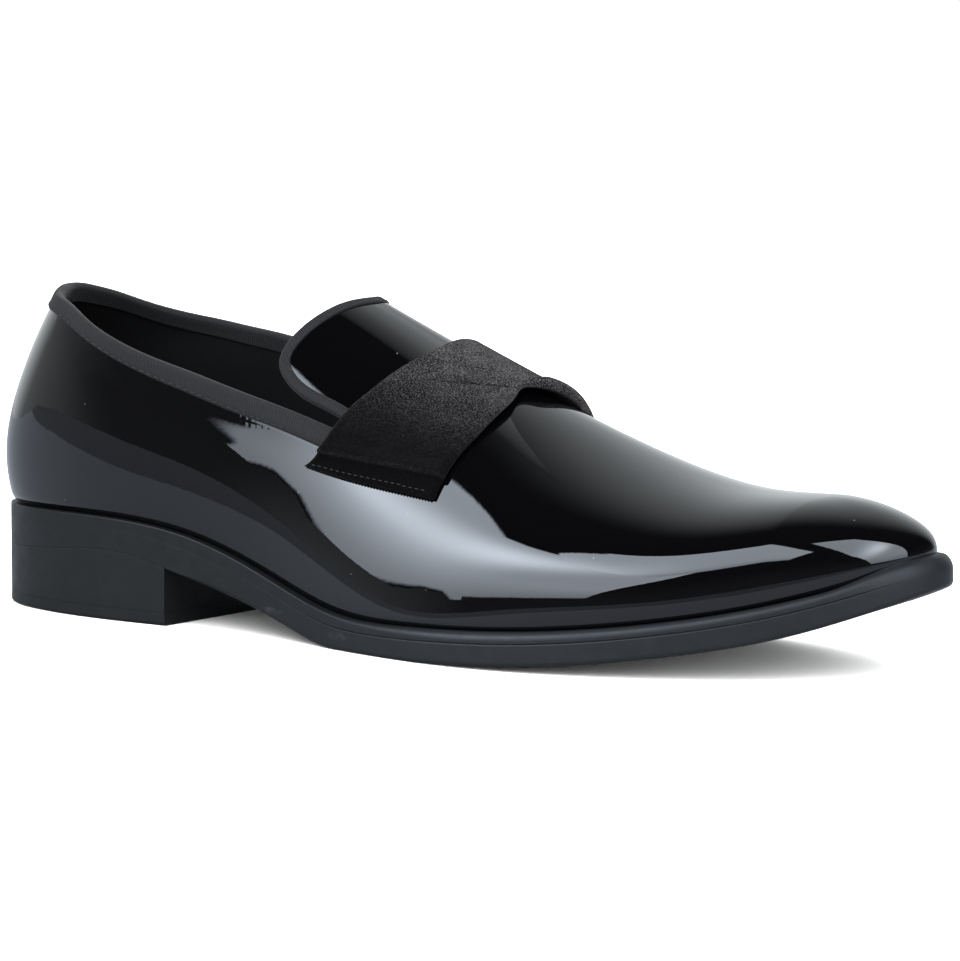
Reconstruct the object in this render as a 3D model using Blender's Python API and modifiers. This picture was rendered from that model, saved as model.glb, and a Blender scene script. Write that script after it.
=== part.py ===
"""Patent evening loafer with a velvet vamp strap: right shoe, toe toward +X, outer side toward -Y.

All tables are in millimetres or in shares of the named sizes; the meshes are made in metres.
The shoe is drawn with the heel back at x = 0 and is moved to its own middle at the end.
"""
import bpy
import bmesh
import numpy as np
from collections import namedtuple

MM = 0.001

# Named sizes, millimetres
LENGTH = 302.0          # sole, heel back to toe tip
BALL_WIDTH = 99.0       # sole edge across the ball
INSTEP = 80.0           # ridge of the last above the feather edge at the instep
HEEL_HEIGHT = 28.4      # feather edge above the floor at the heel seat
WALL = 2.0              # upper with its lining
GAP = 0.3               # clear space between neighbouring pieces
MIDSOLE_SHARE = 0.34    # of the sole edge's thickness
INSOLE_THICK = 2.6
HEEL_BREAST = 76.5      # front face of the heel, from the heel back
TOP_PIECE = 3.5
RIBBON = 0.5            # binding thickness
TONGUE_LEG = 3.0        # width of the tongue's binding
VELVET = 1.9            # strap thickness
SPINE_BACK = 34.0       # ribs of the heel fan out from here
SPINE_FRONT = 266.0     # ribs of the toe fan out from here
FLARE_ANGLE = 0.627     # angle up a rib at which the wall flares below the collar, and the spread of that flare
FLARE_BAND = 0.109
SWING = 0.14            # how far the forefoot's slope turns to the inner side
SWING_FROM = 180.0      # where that turn starts and where it is full
SWING_FULL = 260.0
NOTCH = 144.0           # where the quarter's edge meets the tongue's edge, under the strap

# Mesh counts
QUARTER_RIBS = 22
VAMP_RIBS = 46
WALL_ROWS = 8
CROWN_ROWS = 11
TONGUE_ROWS = 4
SOLE_STATIONS = 40
STRAP_ROWS = 26

# Sole edge seen from above: at = share of LENGTH, outer and inner = shares of BALL_WIDTH
Plan = namedtuple("Plan", "at outer inner")
PLAN = [
    Plan(0.030, 0.185, 0.182),
    Plan(0.106, 0.297, 0.293),
    Plan(0.205, 0.338, 0.313),
    Plan(0.358, 0.360, 0.290),
    Plan(0.497, 0.465, 0.355),
    Plan(0.636, 0.525, 0.456),
    Plan(0.768, 0.457, 0.450),
    Plan(0.887, 0.315, 0.330),
    Plan(0.970, 0.132, 0.191),
]
TOE_TIP_SIDE = 0.032    # toe tip's offset to the inner side, share of BALL_WIDTH

# Sections of the last, heel to toe. at: share of LENGTH; feather and base: top and bottom of the sole edge,
# shares of HEEL_HEIGHT; ridge: height above the feather, share of INSTEP; drift: the ridge's y, share of
# BALL_WIDTH; margin: sole edge beyond the upper, mm; fall and full: how a side falls and fills out;
# crown: roundness on top; flare: how far the wall turns out below the collar, share of the half width
Section = namedtuple(
    "Section", "at feather base ridge drift margin fall_out full_out fall_in full_in crown flare")
SECTIONS = [
    Section(0.00, 0.993, 0.592, 0.930, 0.000, 0.9, 5.10, 0.425, 5.10, 0.425, 1.00, 0.000),
    Section(0.10, 1.014, 0.641, 1.008, 0.000, 1.1, 1.50, 0.273, 1.48, 0.298, 1.00, 0.012),
    Section(0.20, 1.000, 0.680, 1.033, 0.000, 1.3, 1.03, 0.210, 1.08, 0.205, 1.00, 0.027),
    Section(0.28, 0.891, 0.493, 1.024, 0.008, 1.4, 1.09, 0.172, 1.10, 0.165, 1.00, 0.020),
    Section(0.36, 0.641, 0.268, 0.974, 0.019, 1.6, 1.12, 0.130, 1.04, 0.150, 1.00, 0.024),
    Section(0.46, 0.342, 0.000, 0.902, 0.032, 2.1, 1.15, 0.049, 0.95, 0.120, 1.00, 0.000),
    Section(0.56, 0.313, -0.005, 0.738, 0.043, 2.5, 1.025, -0.005, 0.89, 0.090, 0.99, 0.000),
    Section(0.68, 0.380, 0.056, 0.528, 0.050, 2.6, 1.00, 0.048, 0.86, 0.080, 0.95, 0.000),
    Section(0.80, 0.549, 0.232, 0.366, 0.043, 2.7, 0.90, 0.060, 0.85, 0.060, 0.88, 0.000),
    Section(0.90, 0.776, 0.456, 0.286, 0.035, 3.1, 0.88, 0.050, 0.86, 0.050, 0.76, 0.000),
    Section(1.00, 1.110, 0.840, 0.132, 0.030, 4.6, 0.98, 0.040, 0.98, 0.040, 0.70, 0.000),
]

# Collar edge. at: plan x of the rib's foot, mm; outer and inner: height of the edge on each side, mm;
# leg: width of the binding down the wall, mm
Collar = namedtuple("Collar", "at outer inner leg")
COLLAR = [
    Collar(0.0, 89.7, 89.7, 4.2),
    Collar(8.0, 89.4, 88.1, 4.2),
    Collar(16.0, 88.8, 86.3, 4.2),
    Collar(26.0, 88.2, 82.9, 4.2),
    Collar(36.0, 86.9, 80.1, 4.2),
    Collar(46.0, 82.9, 78.5, 4.2),
    Collar(56.0, 78.6, 77.2, 4.3),
    Collar(70.0, 73.7, 75.7, 4.5),
    Collar(84.0, 70.0, 73.3, 4.9),
    Collar(98.0, 66.3, 70.1, 5.2),
    Collar(112.0, 62.9, 66.3, 5.4),
    Collar(126.0, 59.1, 61.5, 5.6),
    Collar(135.0, 56.8, 58.0, 5.6),
    Collar(NOTCH, 56.2, 56.2, 5.6),
]

# Tongue edge, from the notch to the ridge. root and turn: place between the notch (0) and the ridge (1),
# on the notch line and on the edge; at: the edge's x, mm
Tongue = namedtuple("Tongue", "root at turn")
TONGUE = [
    Tongue(0.000, NOTCH, 0.000),
    Tongue(0.040, 134.0, 0.030),
    Tongue(0.090, 125.5, 0.024),
    Tongue(0.150, 118.5, 0.026),
    Tongue(0.225, 113.5, 0.062),
    Tongue(0.310, 111.2, 0.140),
    Tongue(0.450, 112.7, 0.305),
    Tongue(0.610, 115.7, 0.505),
    Tongue(0.750, 118.4, 0.700),
    Tongue(0.880, 120.5, 0.870),
    Tongue(1.000, 121.3, 1.000),
]

# Velvet strap, a row per fold across the vamp. turn: degrees from the ridge, outer side negative; at: x, mm;
# lift: clear height above the vamp, mm; each at the strap's back edge and at its front edge
Strap = namedtuple("Strap", "turn_back at_back lift_back turn_front at_front lift_front")
STRAP = [
    Strap(-62.3, 126.3, 0.5, -56.0, 171.7, 0.5),
    Strap(-57.3, 131.0, 1.3, -49.7, 172.3, 0.6),
    Strap(-46.1, 135.9, 1.4, -40.3, 173.6, 0.9),
    Strap(-37.3, 140.3, 1.3, -31.9, 175.0, 1.2),
    Strap(-26.6, 144.3, 1.2, -21.3, 175.3, 1.7),
    Strap(-15.8, 147.3, 1.1, -12.4, 174.3, 2.1),
    Strap(-6.1, 147.8, 1.1, -4.8, 172.3, 2.3),
    Strap(5.0, 147.4, 1.2, 4.0, 174.2, 2.1),
    Strap(14.0, 146.6, 1.4, 14.0, 175.6, 1.5),
    Strap(26.0, 144.6, 1.4, 25.0, 175.8, 1.0),
    Strap(38.0, 141.0, 1.4, 36.0, 175.4, 0.7),
    Strap(50.0, 136.4, 1.3, 46.0, 174.6, 0.6),
    Strap(60.0, 132.0, 0.5, 54.0, 173.6, 0.5),
]

# Side of each sole layer, bottom to top. tuck: drawn in from the sole edge, mm;
# up: share of the layer's height
Side = namedtuple("Side", "tuck up")
OUTSOLE_SIDE = [Side(1.2, 0.0), Side(0.2, 0.22), Side(0.0, 0.80), Side(0.5, 1.0)]
MIDSOLE_SIDE = [Side(0.6, 0.0), Side(0.1, 0.25), Side(0.1, 0.75), Side(0.7, 1.0)]
INSOLE_SIDE = [Side(0.6, 0.0), Side(0.6, 1.0)]
HEEL_SIDE = [Side(0.3, 0.0), Side(0.1, 0.55), Side(0.2, 1.0)]
TOP_PIECE_SIDE = [Side(0.9, 0.0), Side(0.2, 0.25), Side(0.2, 1.0)]

# Looks: colour, roughness
Look = namedtuple("Look", "colour rough")
PATENT = Look((0.010, 0.010, 0.012), 0.06)
RIBBED = Look((0.045, 0.047, 0.052), 0.80)
VELVETY = Look((0.022, 0.020, 0.024), 0.95)
SOLE_BLACK = Look((0.028, 0.031, 0.034), 0.45)
LINING = Look((0.015, 0.015, 0.017), 0.70)


def spline(xs, ys):
    """Natural cubic through the points."""
    xs = np.array(xs, float)
    ys = np.array(ys, float)
    step = np.diff(xs)
    count = len(xs)
    matrix = np.eye(count)
    right = np.zeros(count)
    for i in range(1, count - 1):
        matrix[i, i - 1:i + 2] = step[i - 1], 2 * (step[i - 1] + step[i]), step[i]
        right[i] = 6 * ((ys[i + 1] - ys[i]) / step[i] - (ys[i] - ys[i - 1]) / step[i - 1])
    bend = np.linalg.solve(matrix, right)

    def value(x):
        x = np.clip(np.asarray(x, float), xs[0], xs[-1])
        i = np.clip(np.searchsorted(xs, x) - 1, 0, count - 2)
        after = xs[i + 1] - x
        before = x - xs[i]
        cubic = (bend[i] * after ** 3 + bend[i + 1] * before ** 3) / (6 * step[i])
        start = (ys[i] / step[i] - bend[i] * step[i] / 6) * after
        end = (ys[i + 1] / step[i] - bend[i + 1] * step[i] / 6) * before
        return cubic + start + end

    return value


def ring(points):
    """Closed cubic through the points, from 0 to its own length."""
    points = np.array(points, float)
    count = len(points)
    chords = np.linalg.norm(np.roll(points, -1, axis=0) - points, axis=1) ** 0.5
    knots = np.concatenate([[0.0], np.cumsum(chords)])
    matrix = np.zeros((count, count))
    right = np.zeros((count, 2))
    for i in range(count):
        last, here, following = i - 1, i, (i + 1) % count
        matrix[i, last] += chords[last]
        matrix[i, here] += 2 * (chords[last] + chords[here])
        matrix[i, following] += chords[here]
        right[i] = 6 * ((points[following] - points[here]) / chords[here]
                        - (points[here] - points[last]) / chords[last])
    bend = np.linalg.solve(matrix, right)

    def value(u):
        u = np.mod(np.asarray(u, float), knots[-1])
        i = np.clip(np.searchsorted(knots, u, side="right") - 1, 0, count - 1)
        j = (i + 1) % count
        after = (knots[i + 1] - u)[..., None]
        before = (u - knots[i])[..., None]
        step = chords[i][..., None]
        cubic = (bend[i] * after ** 3 + bend[j] * before ** 3) / (6 * step)
        start = (points[i] / step - bend[i] * step / 6) * after
        end = (points[j] / step - bend[j] * step / 6) * before
        return cubic + start + end

    return value, knots[-1]


# Sole edge as one closed curve: heel back, outer side, toe tip, inner side
outer_points = [(row.at * LENGTH, -row.outer * BALL_WIDTH) for row in PLAN]
inner_points = [(row.at * LENGTH, row.inner * BALL_WIDTH) for row in reversed(PLAN)]
toe_tip = (LENGTH, TOE_TIP_SIDE * BALL_WIDTH)
outline, ROUND = ring([(0.0, 0.0)] + outer_points + [toe_tip] + inner_points)

section_x = [row.at * LENGTH for row in SECTIONS]
feather_line = spline(section_x, [row.feather * HEEL_HEIGHT for row in SECTIONS])
base_line = spline(section_x, [row.base * HEEL_HEIGHT for row in SECTIONS])
ridge = spline(section_x, [row.ridge * INSTEP for row in SECTIONS])
drift = spline(section_x, [row.drift * BALL_WIDTH for row in SECTIONS])
margin = spline(section_x, [row.margin for row in SECTIONS])
fall_out = spline(section_x, [row.fall_out for row in SECTIONS])
full_out = spline(section_x, [row.full_out for row in SECTIONS])
fall_in = spline(section_x, [row.fall_in for row in SECTIONS])
full_in = spline(section_x, [row.full_in for row in SECTIONS])
crown = spline(section_x, [row.crown for row in SECTIONS])
flare = spline(section_x, [row.flare for row in SECTIONS])

# Outline parameter for an x on either side
fine_u = np.linspace(0.0, ROUND, 8001)
fine_edge = outline(fine_u[:-1])
toe_index = int(np.argmax(fine_edge[:, 0]))
TOE_U = fine_u[toe_index]


def foot_at(x, outer):
    """Outline parameter of the rib that stands at x."""
    on_outer = np.interp(x, fine_edge[:toe_index, 0], fine_u[:toe_index])
    on_inner = np.interp(x, fine_edge[toe_index:, 0][::-1], fine_u[toe_index:-1][::-1])
    return np.where(outer, on_outer, on_inner)


def stride(x, y):
    """Place along the foot, which the forefoot's swing moves sideways."""
    turn = np.clip((x - SWING_FROM) / (SWING_FULL - SWING_FROM), 0.0, 1.0)
    return x + SWING * y * turn * turn * (3 - 2 * turn)


def feather(x, y):
    """Edge where the upper meets the sole."""
    return feather_line(stride(x, y))


def base(x, y):
    """Underside of the sole, flat where it meets the floor."""
    return np.maximum(base_line(stride(x, y)), 0.0)


def skin(u, angle):
    """Outer face of the upper on the rib at u; angle is 0 at the feather and a right angle at the ridge."""
    foot = outline(u)
    spine_x = np.clip(foot[..., 0], SPINE_BACK, SPINE_FRONT)
    spine_y = drift(spine_x)
    reach_x = foot[..., 0] - spine_x
    reach_y = foot[..., 1] - spine_y
    span = np.hypot(reach_x, reach_y)
    inset = (span - margin(foot[..., 0])) / span
    outer = np.clip(0.5 - reach_y / 30.0, 0.0, 1.0)
    outer = outer * outer * (3 - 2 * outer)
    fall = outer * fall_out(foot[..., 0]) + (1 - outer) * fall_in(foot[..., 0])
    full = outer * full_out(foot[..., 0]) + (1 - outer) * full_in(foot[..., 0])
    collar_band = np.exp(-((angle - FLARE_ANGLE) / FLARE_BAND) ** 2)
    across = np.maximum(np.cos(angle), 0.0) ** fall + full * np.sin(2 * angle)
    across = inset * (across + flare(foot[..., 0]) * collar_band)
    x = spine_x + reach_x * across
    y = spine_y + reach_y * across
    z = feather(x, y) + ridge(x) * np.sin(angle) ** crown(foot[..., 0])
    return np.stack([x, y, z], axis=-1)


def over(x, turn):
    """Outer face of the upper at x and at an angle from the ridge, outer side negative."""
    outer = np.asarray(turn) < 0
    return skin(foot_at(x, outer), np.pi / 2 - np.abs(turn))


def facing(along, across):
    """Unit normals that look out of the shoe."""
    normal = np.cross(along, across)
    return normal / np.linalg.norm(normal, axis=-1, keepdims=True)


def over_frame(x, turn):
    """Point, unit normal and the two slopes of the upper at x and turn."""
    small_x, small_turn = 0.2, 0.004
    by_x = (over(x + small_x, turn) - over(x - small_x, turn)) / (2 * small_x)
    by_turn = (over(x, turn + small_turn) - over(x, turn - small_turn)) / (2 * small_turn)
    return over(x, turn), facing(by_x, by_turn), by_x, by_turn


def edge_angle(u, height):
    """Angle on the rib at which the upper reaches a height."""
    low = np.zeros_like(u)
    high = np.full_like(u, np.pi / 2)
    for _ in range(40):
        middle = (low + high) / 2
        below = skin(u, middle)[..., 2] < height
        low = np.where(below, middle, low)
        high = np.where(below, high, middle)
    return (low + high) / 2


collar_outer = spline([row.at for row in COLLAR], [row.outer for row in COLLAR])
collar_inner = spline([row.at for row in COLLAR], [row.inner for row in COLLAR])
collar_leg = spline([row.at for row in COLLAR], [row.leg for row in COLLAR])

# Ribs of the two quarters, from the outer notch round the heel to the inner notch
u_out = float(foot_at(NOTCH, True))
u_in = float(foot_at(NOTCH, False))
back_out = np.linspace(u_out, 0.0, QUARTER_RIBS + 1)
back_in = np.linspace(ROUND, u_in, QUARTER_RIBS + 1)
quarter_u = np.concatenate([back_out, back_in[1:]])
quarter_side = np.concatenate([np.ones(QUARTER_RIBS + 1), np.zeros(QUARTER_RIBS)])
quarter_x = outline(quarter_u)[:, 0]
collar_z = np.where(quarter_side > 0, collar_outer(quarter_x), collar_inner(quarter_x))
collar_angle = edge_angle(quarter_u, collar_z)
NOTCH_OUT = collar_angle[0]
NOTCH_IN = collar_angle[-1]

tongue_step = np.linspace(0.0, 1.0, len(TONGUE))
tongue_root = spline(tongue_step, [row.root for row in TONGUE])
tongue_at = spline(tongue_step, [row.at for row in TONGUE])
tongue_turn = spline(tongue_step, [row.turn for row in TONGUE])


def tongue_lines():
    """Columns of the tongue, outer to inner notch: angle at the notch line, the edge's x and its angle."""
    step = np.linspace(0.0, 1.0, CROWN_ROWS + 1)
    reach_out = np.pi / 2 - NOTCH_OUT
    reach_in = np.pi / 2 - NOTCH_IN
    root_out = (tongue_root(step) - 1) * reach_out
    turn_out = (tongue_turn(step) - 1) * reach_out
    root_in = (1 - tongue_root(step)) * reach_in
    turn_in = (1 - tongue_turn(step)) * reach_in
    edge_x = tongue_at(step)
    root = np.concatenate([root_out, root_in[::-1][1:]])
    turn = np.concatenate([turn_out, turn_in[::-1][1:]])
    return root, np.concatenate([edge_x, edge_x[::-1][1:]]), turn


def upper_grids():
    """Sheets of points that make the upper's outer face."""
    share = np.linspace(0.0, 1.0, WALL_ROWS + 1)
    quarters = skin(quarter_u[:, None], collar_angle[:, None] * share[None])

    vamp_u = np.concatenate([
        np.linspace(u_out, TOE_U, VAMP_RIBS // 2 + 1),
        np.linspace(TOE_U, u_in, VAMP_RIBS // 2 + 1)[1:],
    ])
    to_inner = (vamp_u - u_out) / (u_in - u_out)
    split = NOTCH_OUT + (NOTCH_IN - NOTCH_OUT) * to_inner
    wall = skin(vamp_u[:, None], split[:, None] * share[None])
    climb = tongue_root(np.linspace(0.0, 1.0, CROWN_ROWS + 1))
    top = skin(vamp_u[:, None], split[:, None] + (np.pi / 2 - split[:, None]) * climb[None])

    root, edge_x, edge_turn = tongue_lines()
    back = np.linspace(0.0, 1.0, TONGUE_ROWS + 1)[:, None]
    tongue_x = NOTCH + (edge_x - NOTCH)[None] * back
    tongue_angle = root[None] + (edge_turn - root)[None] * back
    tongue = over(tongue_x, tongue_angle)
    return [quarters, wall, top, tongue]


parts = bpy.data.collections.new("patent_loafer")


def material(name, look):
    shade = bpy.data.materials.new(name)
    shade.use_nodes = True
    surface = shade.node_tree.nodes["Principled BSDF"]
    surface.inputs["Base Color"].default_value = (*look.colour, 1.0)
    surface.inputs["Roughness"].default_value = look.rough
    surface.inputs["Metallic"].default_value = 0.0
    return shade


def new_object(name, sheet, look):
    """One object from a bmesh, with its faces turned outward."""
    bmesh.ops.remove_doubles(sheet, verts=sheet.verts[:], dist=0.005 * MM)
    bmesh.ops.dissolve_degenerate(sheet, edges=sheet.edges[:], dist=0.005 * MM)
    bmesh.ops.recalc_face_normals(sheet, faces=sheet.faces[:])
    mesh = bpy.data.meshes.new(name)
    sheet.to_mesh(mesh)
    sheet.free()
    mesh.materials.append(material(name, look))
    item = bpy.data.objects.new(name, mesh)
    parts.objects.link(item)
    return item


def add_grid(sheet, points, wrap=False):
    """Quads between the rows of a grid of points; wrap closes each row on itself."""
    rows, columns = points.shape[:2]
    verts = [[sheet.verts.new(p * MM) for p in row] for row in points]
    last = columns if wrap else columns - 1
    for i in range(rows - 1):
        for j in range(last):
            k = (j + 1) % columns
            sheet.faces.new((verts[i][j], verts[i + 1][j], verts[i + 1][k], verts[i][k]))
    return verts


def make_upper():
    sheet = bmesh.new()
    for points in upper_grids():
        add_grid(sheet, points)
    item = new_object("upper", sheet, PATENT)
    centre = np.mean([face.center for face in item.data.polygons], axis=0)
    outward = sum(face.area * float(np.dot(face.normal, np.array(face.center) - centre))
                  for face in item.data.polygons)
    if outward < 0:
        item.data.flip_normals()
    wall = item.modifiers.new("wall", "SOLIDIFY")
    wall.thickness = WALL * MM
    wall.offset = -1.0
    wall.use_even_offset = True
    return item


def tube(name, loops, look):
    """Solid through a row of closed loops, with flat ends."""
    sheet = bmesh.new()
    verts = add_grid(sheet, loops, wrap=True)
    sheet.faces.new(verts[0])
    sheet.faces.new(verts[-1])
    return new_object(name, sheet, look)


def fold_section(leg):
    """Ribbon folded over an edge: pairs of distance below the edge and offset out of the outer face."""
    inner = -WALL - GAP
    thick = GAP + RIBBON
    return [
        (leg, GAP), (leg, thick), (0.0, thick), (-thick, 0.2),
        (-thick, -WALL - 0.2), (0.0, inner - RIBBON), (leg, inner - RIBBON), (leg, inner),
        (-GAP, inner), (-GAP, GAP),
    ]


def make_collar_binding():
    """Follows the collar edge along the quarters' own ribs, stopping short of the notch."""
    keep = slice(1, len(quarter_u) - 1)
    u, edge = quarter_u[keep], collar_angle[keep]
    small_u, small_angle = 0.01, 0.004
    by_u = skin(u + small_u, edge) - skin(u - small_u, edge)
    by_angle = (skin(u, edge + small_angle) - skin(u, edge - small_angle)) / (2 * small_angle)
    normal = facing(by_u, by_angle)
    pace = np.linalg.norm(by_angle, axis=-1)
    leg = collar_leg(quarter_x[keep])
    loops = []
    for below, out in fold_section(1.0):
        if below > 0:
            loops.append(skin(u, edge - below * leg / pace) + normal * out)
        else:
            loops.append(skin(u, edge) - by_angle / pace[:, None] * below + normal * out)
    return tube("collar_binding", np.stack(loops, axis=1), RIBBED)


def make_tongue_binding():
    """Follows the tongue edge, folded toward the inside of the tongue."""
    edge_x, edge_turn = (line[1:-1] for line in tongue_lines()[1:])
    point, normal, by_x, by_turn = over_frame(edge_x, edge_turn)
    along = np.gradient(point, axis=0)
    along /= np.linalg.norm(along, axis=1, keepdims=True)
    inward = np.cross(along, normal)
    toward = np.sign(np.sum(inward * by_x, axis=1).sum())
    inward *= toward
    loops = []
    for below, out in fold_section(TONGUE_LEG):
        if below > 0:
            slopes = np.stack([by_x, by_turn], axis=2)
            moves = np.stack([np.linalg.lstsq(s, m * below, rcond=None)[0] for s, m in zip(slopes, inward)])
            moved, moved_normal, _, _ = over_frame(edge_x + moves[:, 0], edge_turn + moves[:, 1])
            loops.append(moved + moved_normal * out)
        else:
            loops.append(point + inward * below + normal * out)
    return tube("tongue_binding", np.stack(loops, axis=1), RIBBED)


def make_strap():
    """Velvet band lofted over the vamp, thick and rounded at its edges."""
    step = np.linspace(0.0, 1.0, len(STRAP))
    column = {name: spline(step, [getattr(row, name) for row in STRAP]) for name in Strap._fields}
    rows = np.linspace(0.0, 1.0, STRAP_ROWS + 1)
    spread = [0.0, 0.03, 0.25, 0.5, 0.75, 0.97, 1.0]
    loops = []
    over_it = [(share, 0.5 if share in (0.0, 1.0) else 1.0) for share in spread]
    under_it = [(share, 0.0) for share in spread[-2:0:-1]]
    for share, height in over_it + under_it:
        x = column["at_back"](rows) * (1 - share) + column["at_front"](rows) * share
        turn = np.radians(column["turn_back"](rows) * (1 - share) + column["turn_front"](rows) * share)
        lift = column["lift_back"](rows) * (1 - share) + column["lift_front"](rows) * share
        point, normal, _, _ = over_frame(x, turn)
        loops.append(point + normal * (lift + VELVET * height)[:, None])
    return tube("vamp_strap", np.stack(loops, axis=1), VELVETY)


def edge_ring(tuck):
    """Outer and inner y of the sole edge drawn in by tuck, as functions of x, and its two ends."""
    slope = np.roll(fine_edge, -1, axis=0) - np.roll(fine_edge, 1, axis=0)
    inward = np.stack([-slope[:, 1], slope[:, 0]], axis=1)
    inward /= np.linalg.norm(inward, axis=1, keepdims=True)
    drawn = fine_edge + inward * np.reshape(tuck(fine_edge[:, 0]), (-1, 1))
    first = int(np.argmin(drawn[:, 0]))
    drawn = np.roll(drawn, -first, axis=0)
    tip = int(np.argmax(drawn[:, 0]))
    outer = drawn[:tip + 1]
    inner = np.concatenate([drawn[tip:], drawn[:1]])[::-1]
    return outer, inner


def slab(name, side, tuck, bottom, top, look, end=None):
    """Sole layer: rows of its side from bottom to top, flat across; end cuts it off straight at that x."""
    half_turn = np.linspace(0.0, np.pi, SOLE_STATIONS + 1)
    spacing = (1 - np.cos(half_turn)) / 2
    if end is not None:
        half_turn = np.linspace(0.0, np.pi / 2, SOLE_STATIONS // 3 + 1)
        spacing = 1 - np.cos(half_turn)
    sheet = bmesh.new()
    rings = []
    for row in side:
        outer, inner = edge_ring(lambda x: tuck(x) + row.tuck)
        start, finish = outer[0, 0], outer[-1, 0] if end is None else end
        x = start + (finish - start) * spacing
        y_out = np.interp(x, outer[:, 0], outer[:, 1])
        y_in = np.interp(x, inner[:, 0], inner[:, 1])
        tail = slice(1, -1) if end is None else slice(1, None)
        lap_x = np.concatenate([x, x[tail][::-1]])
        lap_y = np.concatenate([y_out, y_in[tail][::-1]])
        low = bottom(lap_x, lap_y)
        lap_z = low + (top(lap_x, lap_y) - low) * row.up
        rings.append(np.stack([lap_x, lap_y, lap_z], axis=1))
    verts = add_grid(sheet, np.stack(rings), wrap=True)
    count = len(spacing)
    total = len(rings[0])
    for lap in (verts[0], verts[-1]):
        for i in range(count - 1):
            a, b = lap[i], lap[i + 1]
            c, d = lap[(total - i - 1) % total], lap[(total - i) % total]
            corners = []
            for v in (a, b, c, d):
                if v not in corners:
                    corners.append(v)
            sheet.faces.new(corners)
    return new_object(name, sheet, look)


def none(x):
    return np.zeros_like(x)


def under_upper(x, y):
    return feather(x, y) - GAP


def over_insole(x, y):
    return feather(x, y) + INSOLE_THICK


def under_midsole(x, y):
    return over_outsole(x, y) + GAP


def over_outsole(x, y):
    return under_upper(x, y) - MIDSOLE_SHARE * (under_upper(x, y) - base(x, y))


def over_heel(x, y):
    return base(x, y) - GAP


def under_heel(x, y):
    return np.full_like(x, TOP_PIECE + GAP)


def over_top_piece(x, y):
    return np.full_like(x, TOP_PIECE)


def floor(x, y):
    return np.zeros_like(x)


def inside_wall(x):
    return margin(x) + WALL


for old in list(bpy.data.objects):
    bpy.data.objects.remove(old, do_unlink=True)
bpy.context.scene.collection.children.link(parts)

make_upper()
slab("insole", INSOLE_SIDE, inside_wall, feather, over_insole, LINING)
slab("midsole", MIDSOLE_SIDE, none, under_midsole, under_upper, SOLE_BLACK)
slab("outsole", OUTSOLE_SIDE, none, base, over_outsole, SOLE_BLACK)
slab("heel_block", HEEL_SIDE, none, under_heel, over_heel, SOLE_BLACK, end=HEEL_BREAST)
slab("heel_top_piece", TOP_PIECE_SIDE, none, floor, over_top_piece, SOLE_BLACK, end=HEEL_BREAST)
make_strap()
make_collar_binding()
make_tongue_binding()

# Move the shoe so that its middle stands over the origin
bpy.context.view_layer.update()
corners = np.concatenate([[tuple(v.co) for v in item.data.vertices] for item in parts.objects])
middle = (corners.min(axis=0) + corners.max(axis=0)) / 2
for item in parts.objects:
    for vertex in item.data.vertices:
        vertex.co.x -= middle[0]
        vertex.co.y -= middle[1]
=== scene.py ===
"""Looks of the patent evening loafer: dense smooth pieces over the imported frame, a pale studio, the camera.

Shapes are worked out in millimetres from the shoe's own tables, with the heel back at x = 0 and the outer
side toward -Y, and are moved to the frame's origin when a mesh is made.
"""
import math
from collections import namedtuple

import bmesh
import bpy
import numpy as np
from mathutils import Matrix


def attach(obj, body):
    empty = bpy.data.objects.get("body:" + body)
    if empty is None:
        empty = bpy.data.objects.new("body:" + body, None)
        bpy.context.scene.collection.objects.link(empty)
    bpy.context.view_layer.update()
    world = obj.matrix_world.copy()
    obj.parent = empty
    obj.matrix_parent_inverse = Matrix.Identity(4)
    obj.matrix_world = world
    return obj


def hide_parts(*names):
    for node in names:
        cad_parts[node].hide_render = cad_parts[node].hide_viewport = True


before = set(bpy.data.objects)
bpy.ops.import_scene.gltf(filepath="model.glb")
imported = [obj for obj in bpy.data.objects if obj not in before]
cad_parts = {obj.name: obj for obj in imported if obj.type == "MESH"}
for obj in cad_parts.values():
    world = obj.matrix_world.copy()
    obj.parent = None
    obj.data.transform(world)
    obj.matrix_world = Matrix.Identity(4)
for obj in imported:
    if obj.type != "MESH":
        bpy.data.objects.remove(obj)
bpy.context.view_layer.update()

MM = 0.001
SHOE_MIDDLE = np.array([150.299, -2.678, 0.0])   # the frame's origin in the shoe's own millimetres

# Named sizes, millimetres
LENGTH = 302.0          # sole, heel back to toe tip
BALL_WIDTH = 99.0       # sole edge across the ball
INSTEP = 80.0           # ridge of the last above the feather edge at the instep
HEEL_HEIGHT = 28.4      # feather edge above the floor at the heel seat
LEATHER = 1.2           # outer layer of the upper
LINING_TOP = 1.25       # lining's outer and inner face, below the upper's outer face
LINING_END = 2.0
TUCK = 1.1              # how far the upper turns in where it meets the sole
TUCK_HEEL = 2.8         # over what height it does, at the heel and at the toe
TUCK_TOE = 1.5
TUCK_CHANGE = (120.0, 200.0)   # x over which that height changes
TUCK_FADE = (268.0, 292.0)     # x over which the turn fades by TUCK_LOSS
TUCK_LOSS = 0.75
SEAT = 0.05             # clear space between pieces that touch
MIDSOLE_SHARE = 0.34    # of the sole edge's thickness
TOE_LIP = 0.9           # how far the welt stands up at the toe tip, and the radius of its edge there
TOE_ROUND = 4.4
SHARP = 0.03            # radius of an edge that is left sharp
GROOVE = 0.34           # corners of the groove between the sole's layers, on top of SHARP
SOLE_ROUND = 1.17       # outsole's lower edge, on top of SHARP
WELT_ROUND = 0.35       # welt's upper edge at the heel, and what the forefoot adds to it
WELT_FOREFOOT = 1.85
HEEL_ROUND = 0.9        # lower edge of the heel
INSOLE_THICK = 2.6
HEEL_BREAST = 76.5      # front face of the heel, from the heel back
TOP_PIECE = 3.5
RIBBON = 0.75           # binding's outer face above the leather
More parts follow.
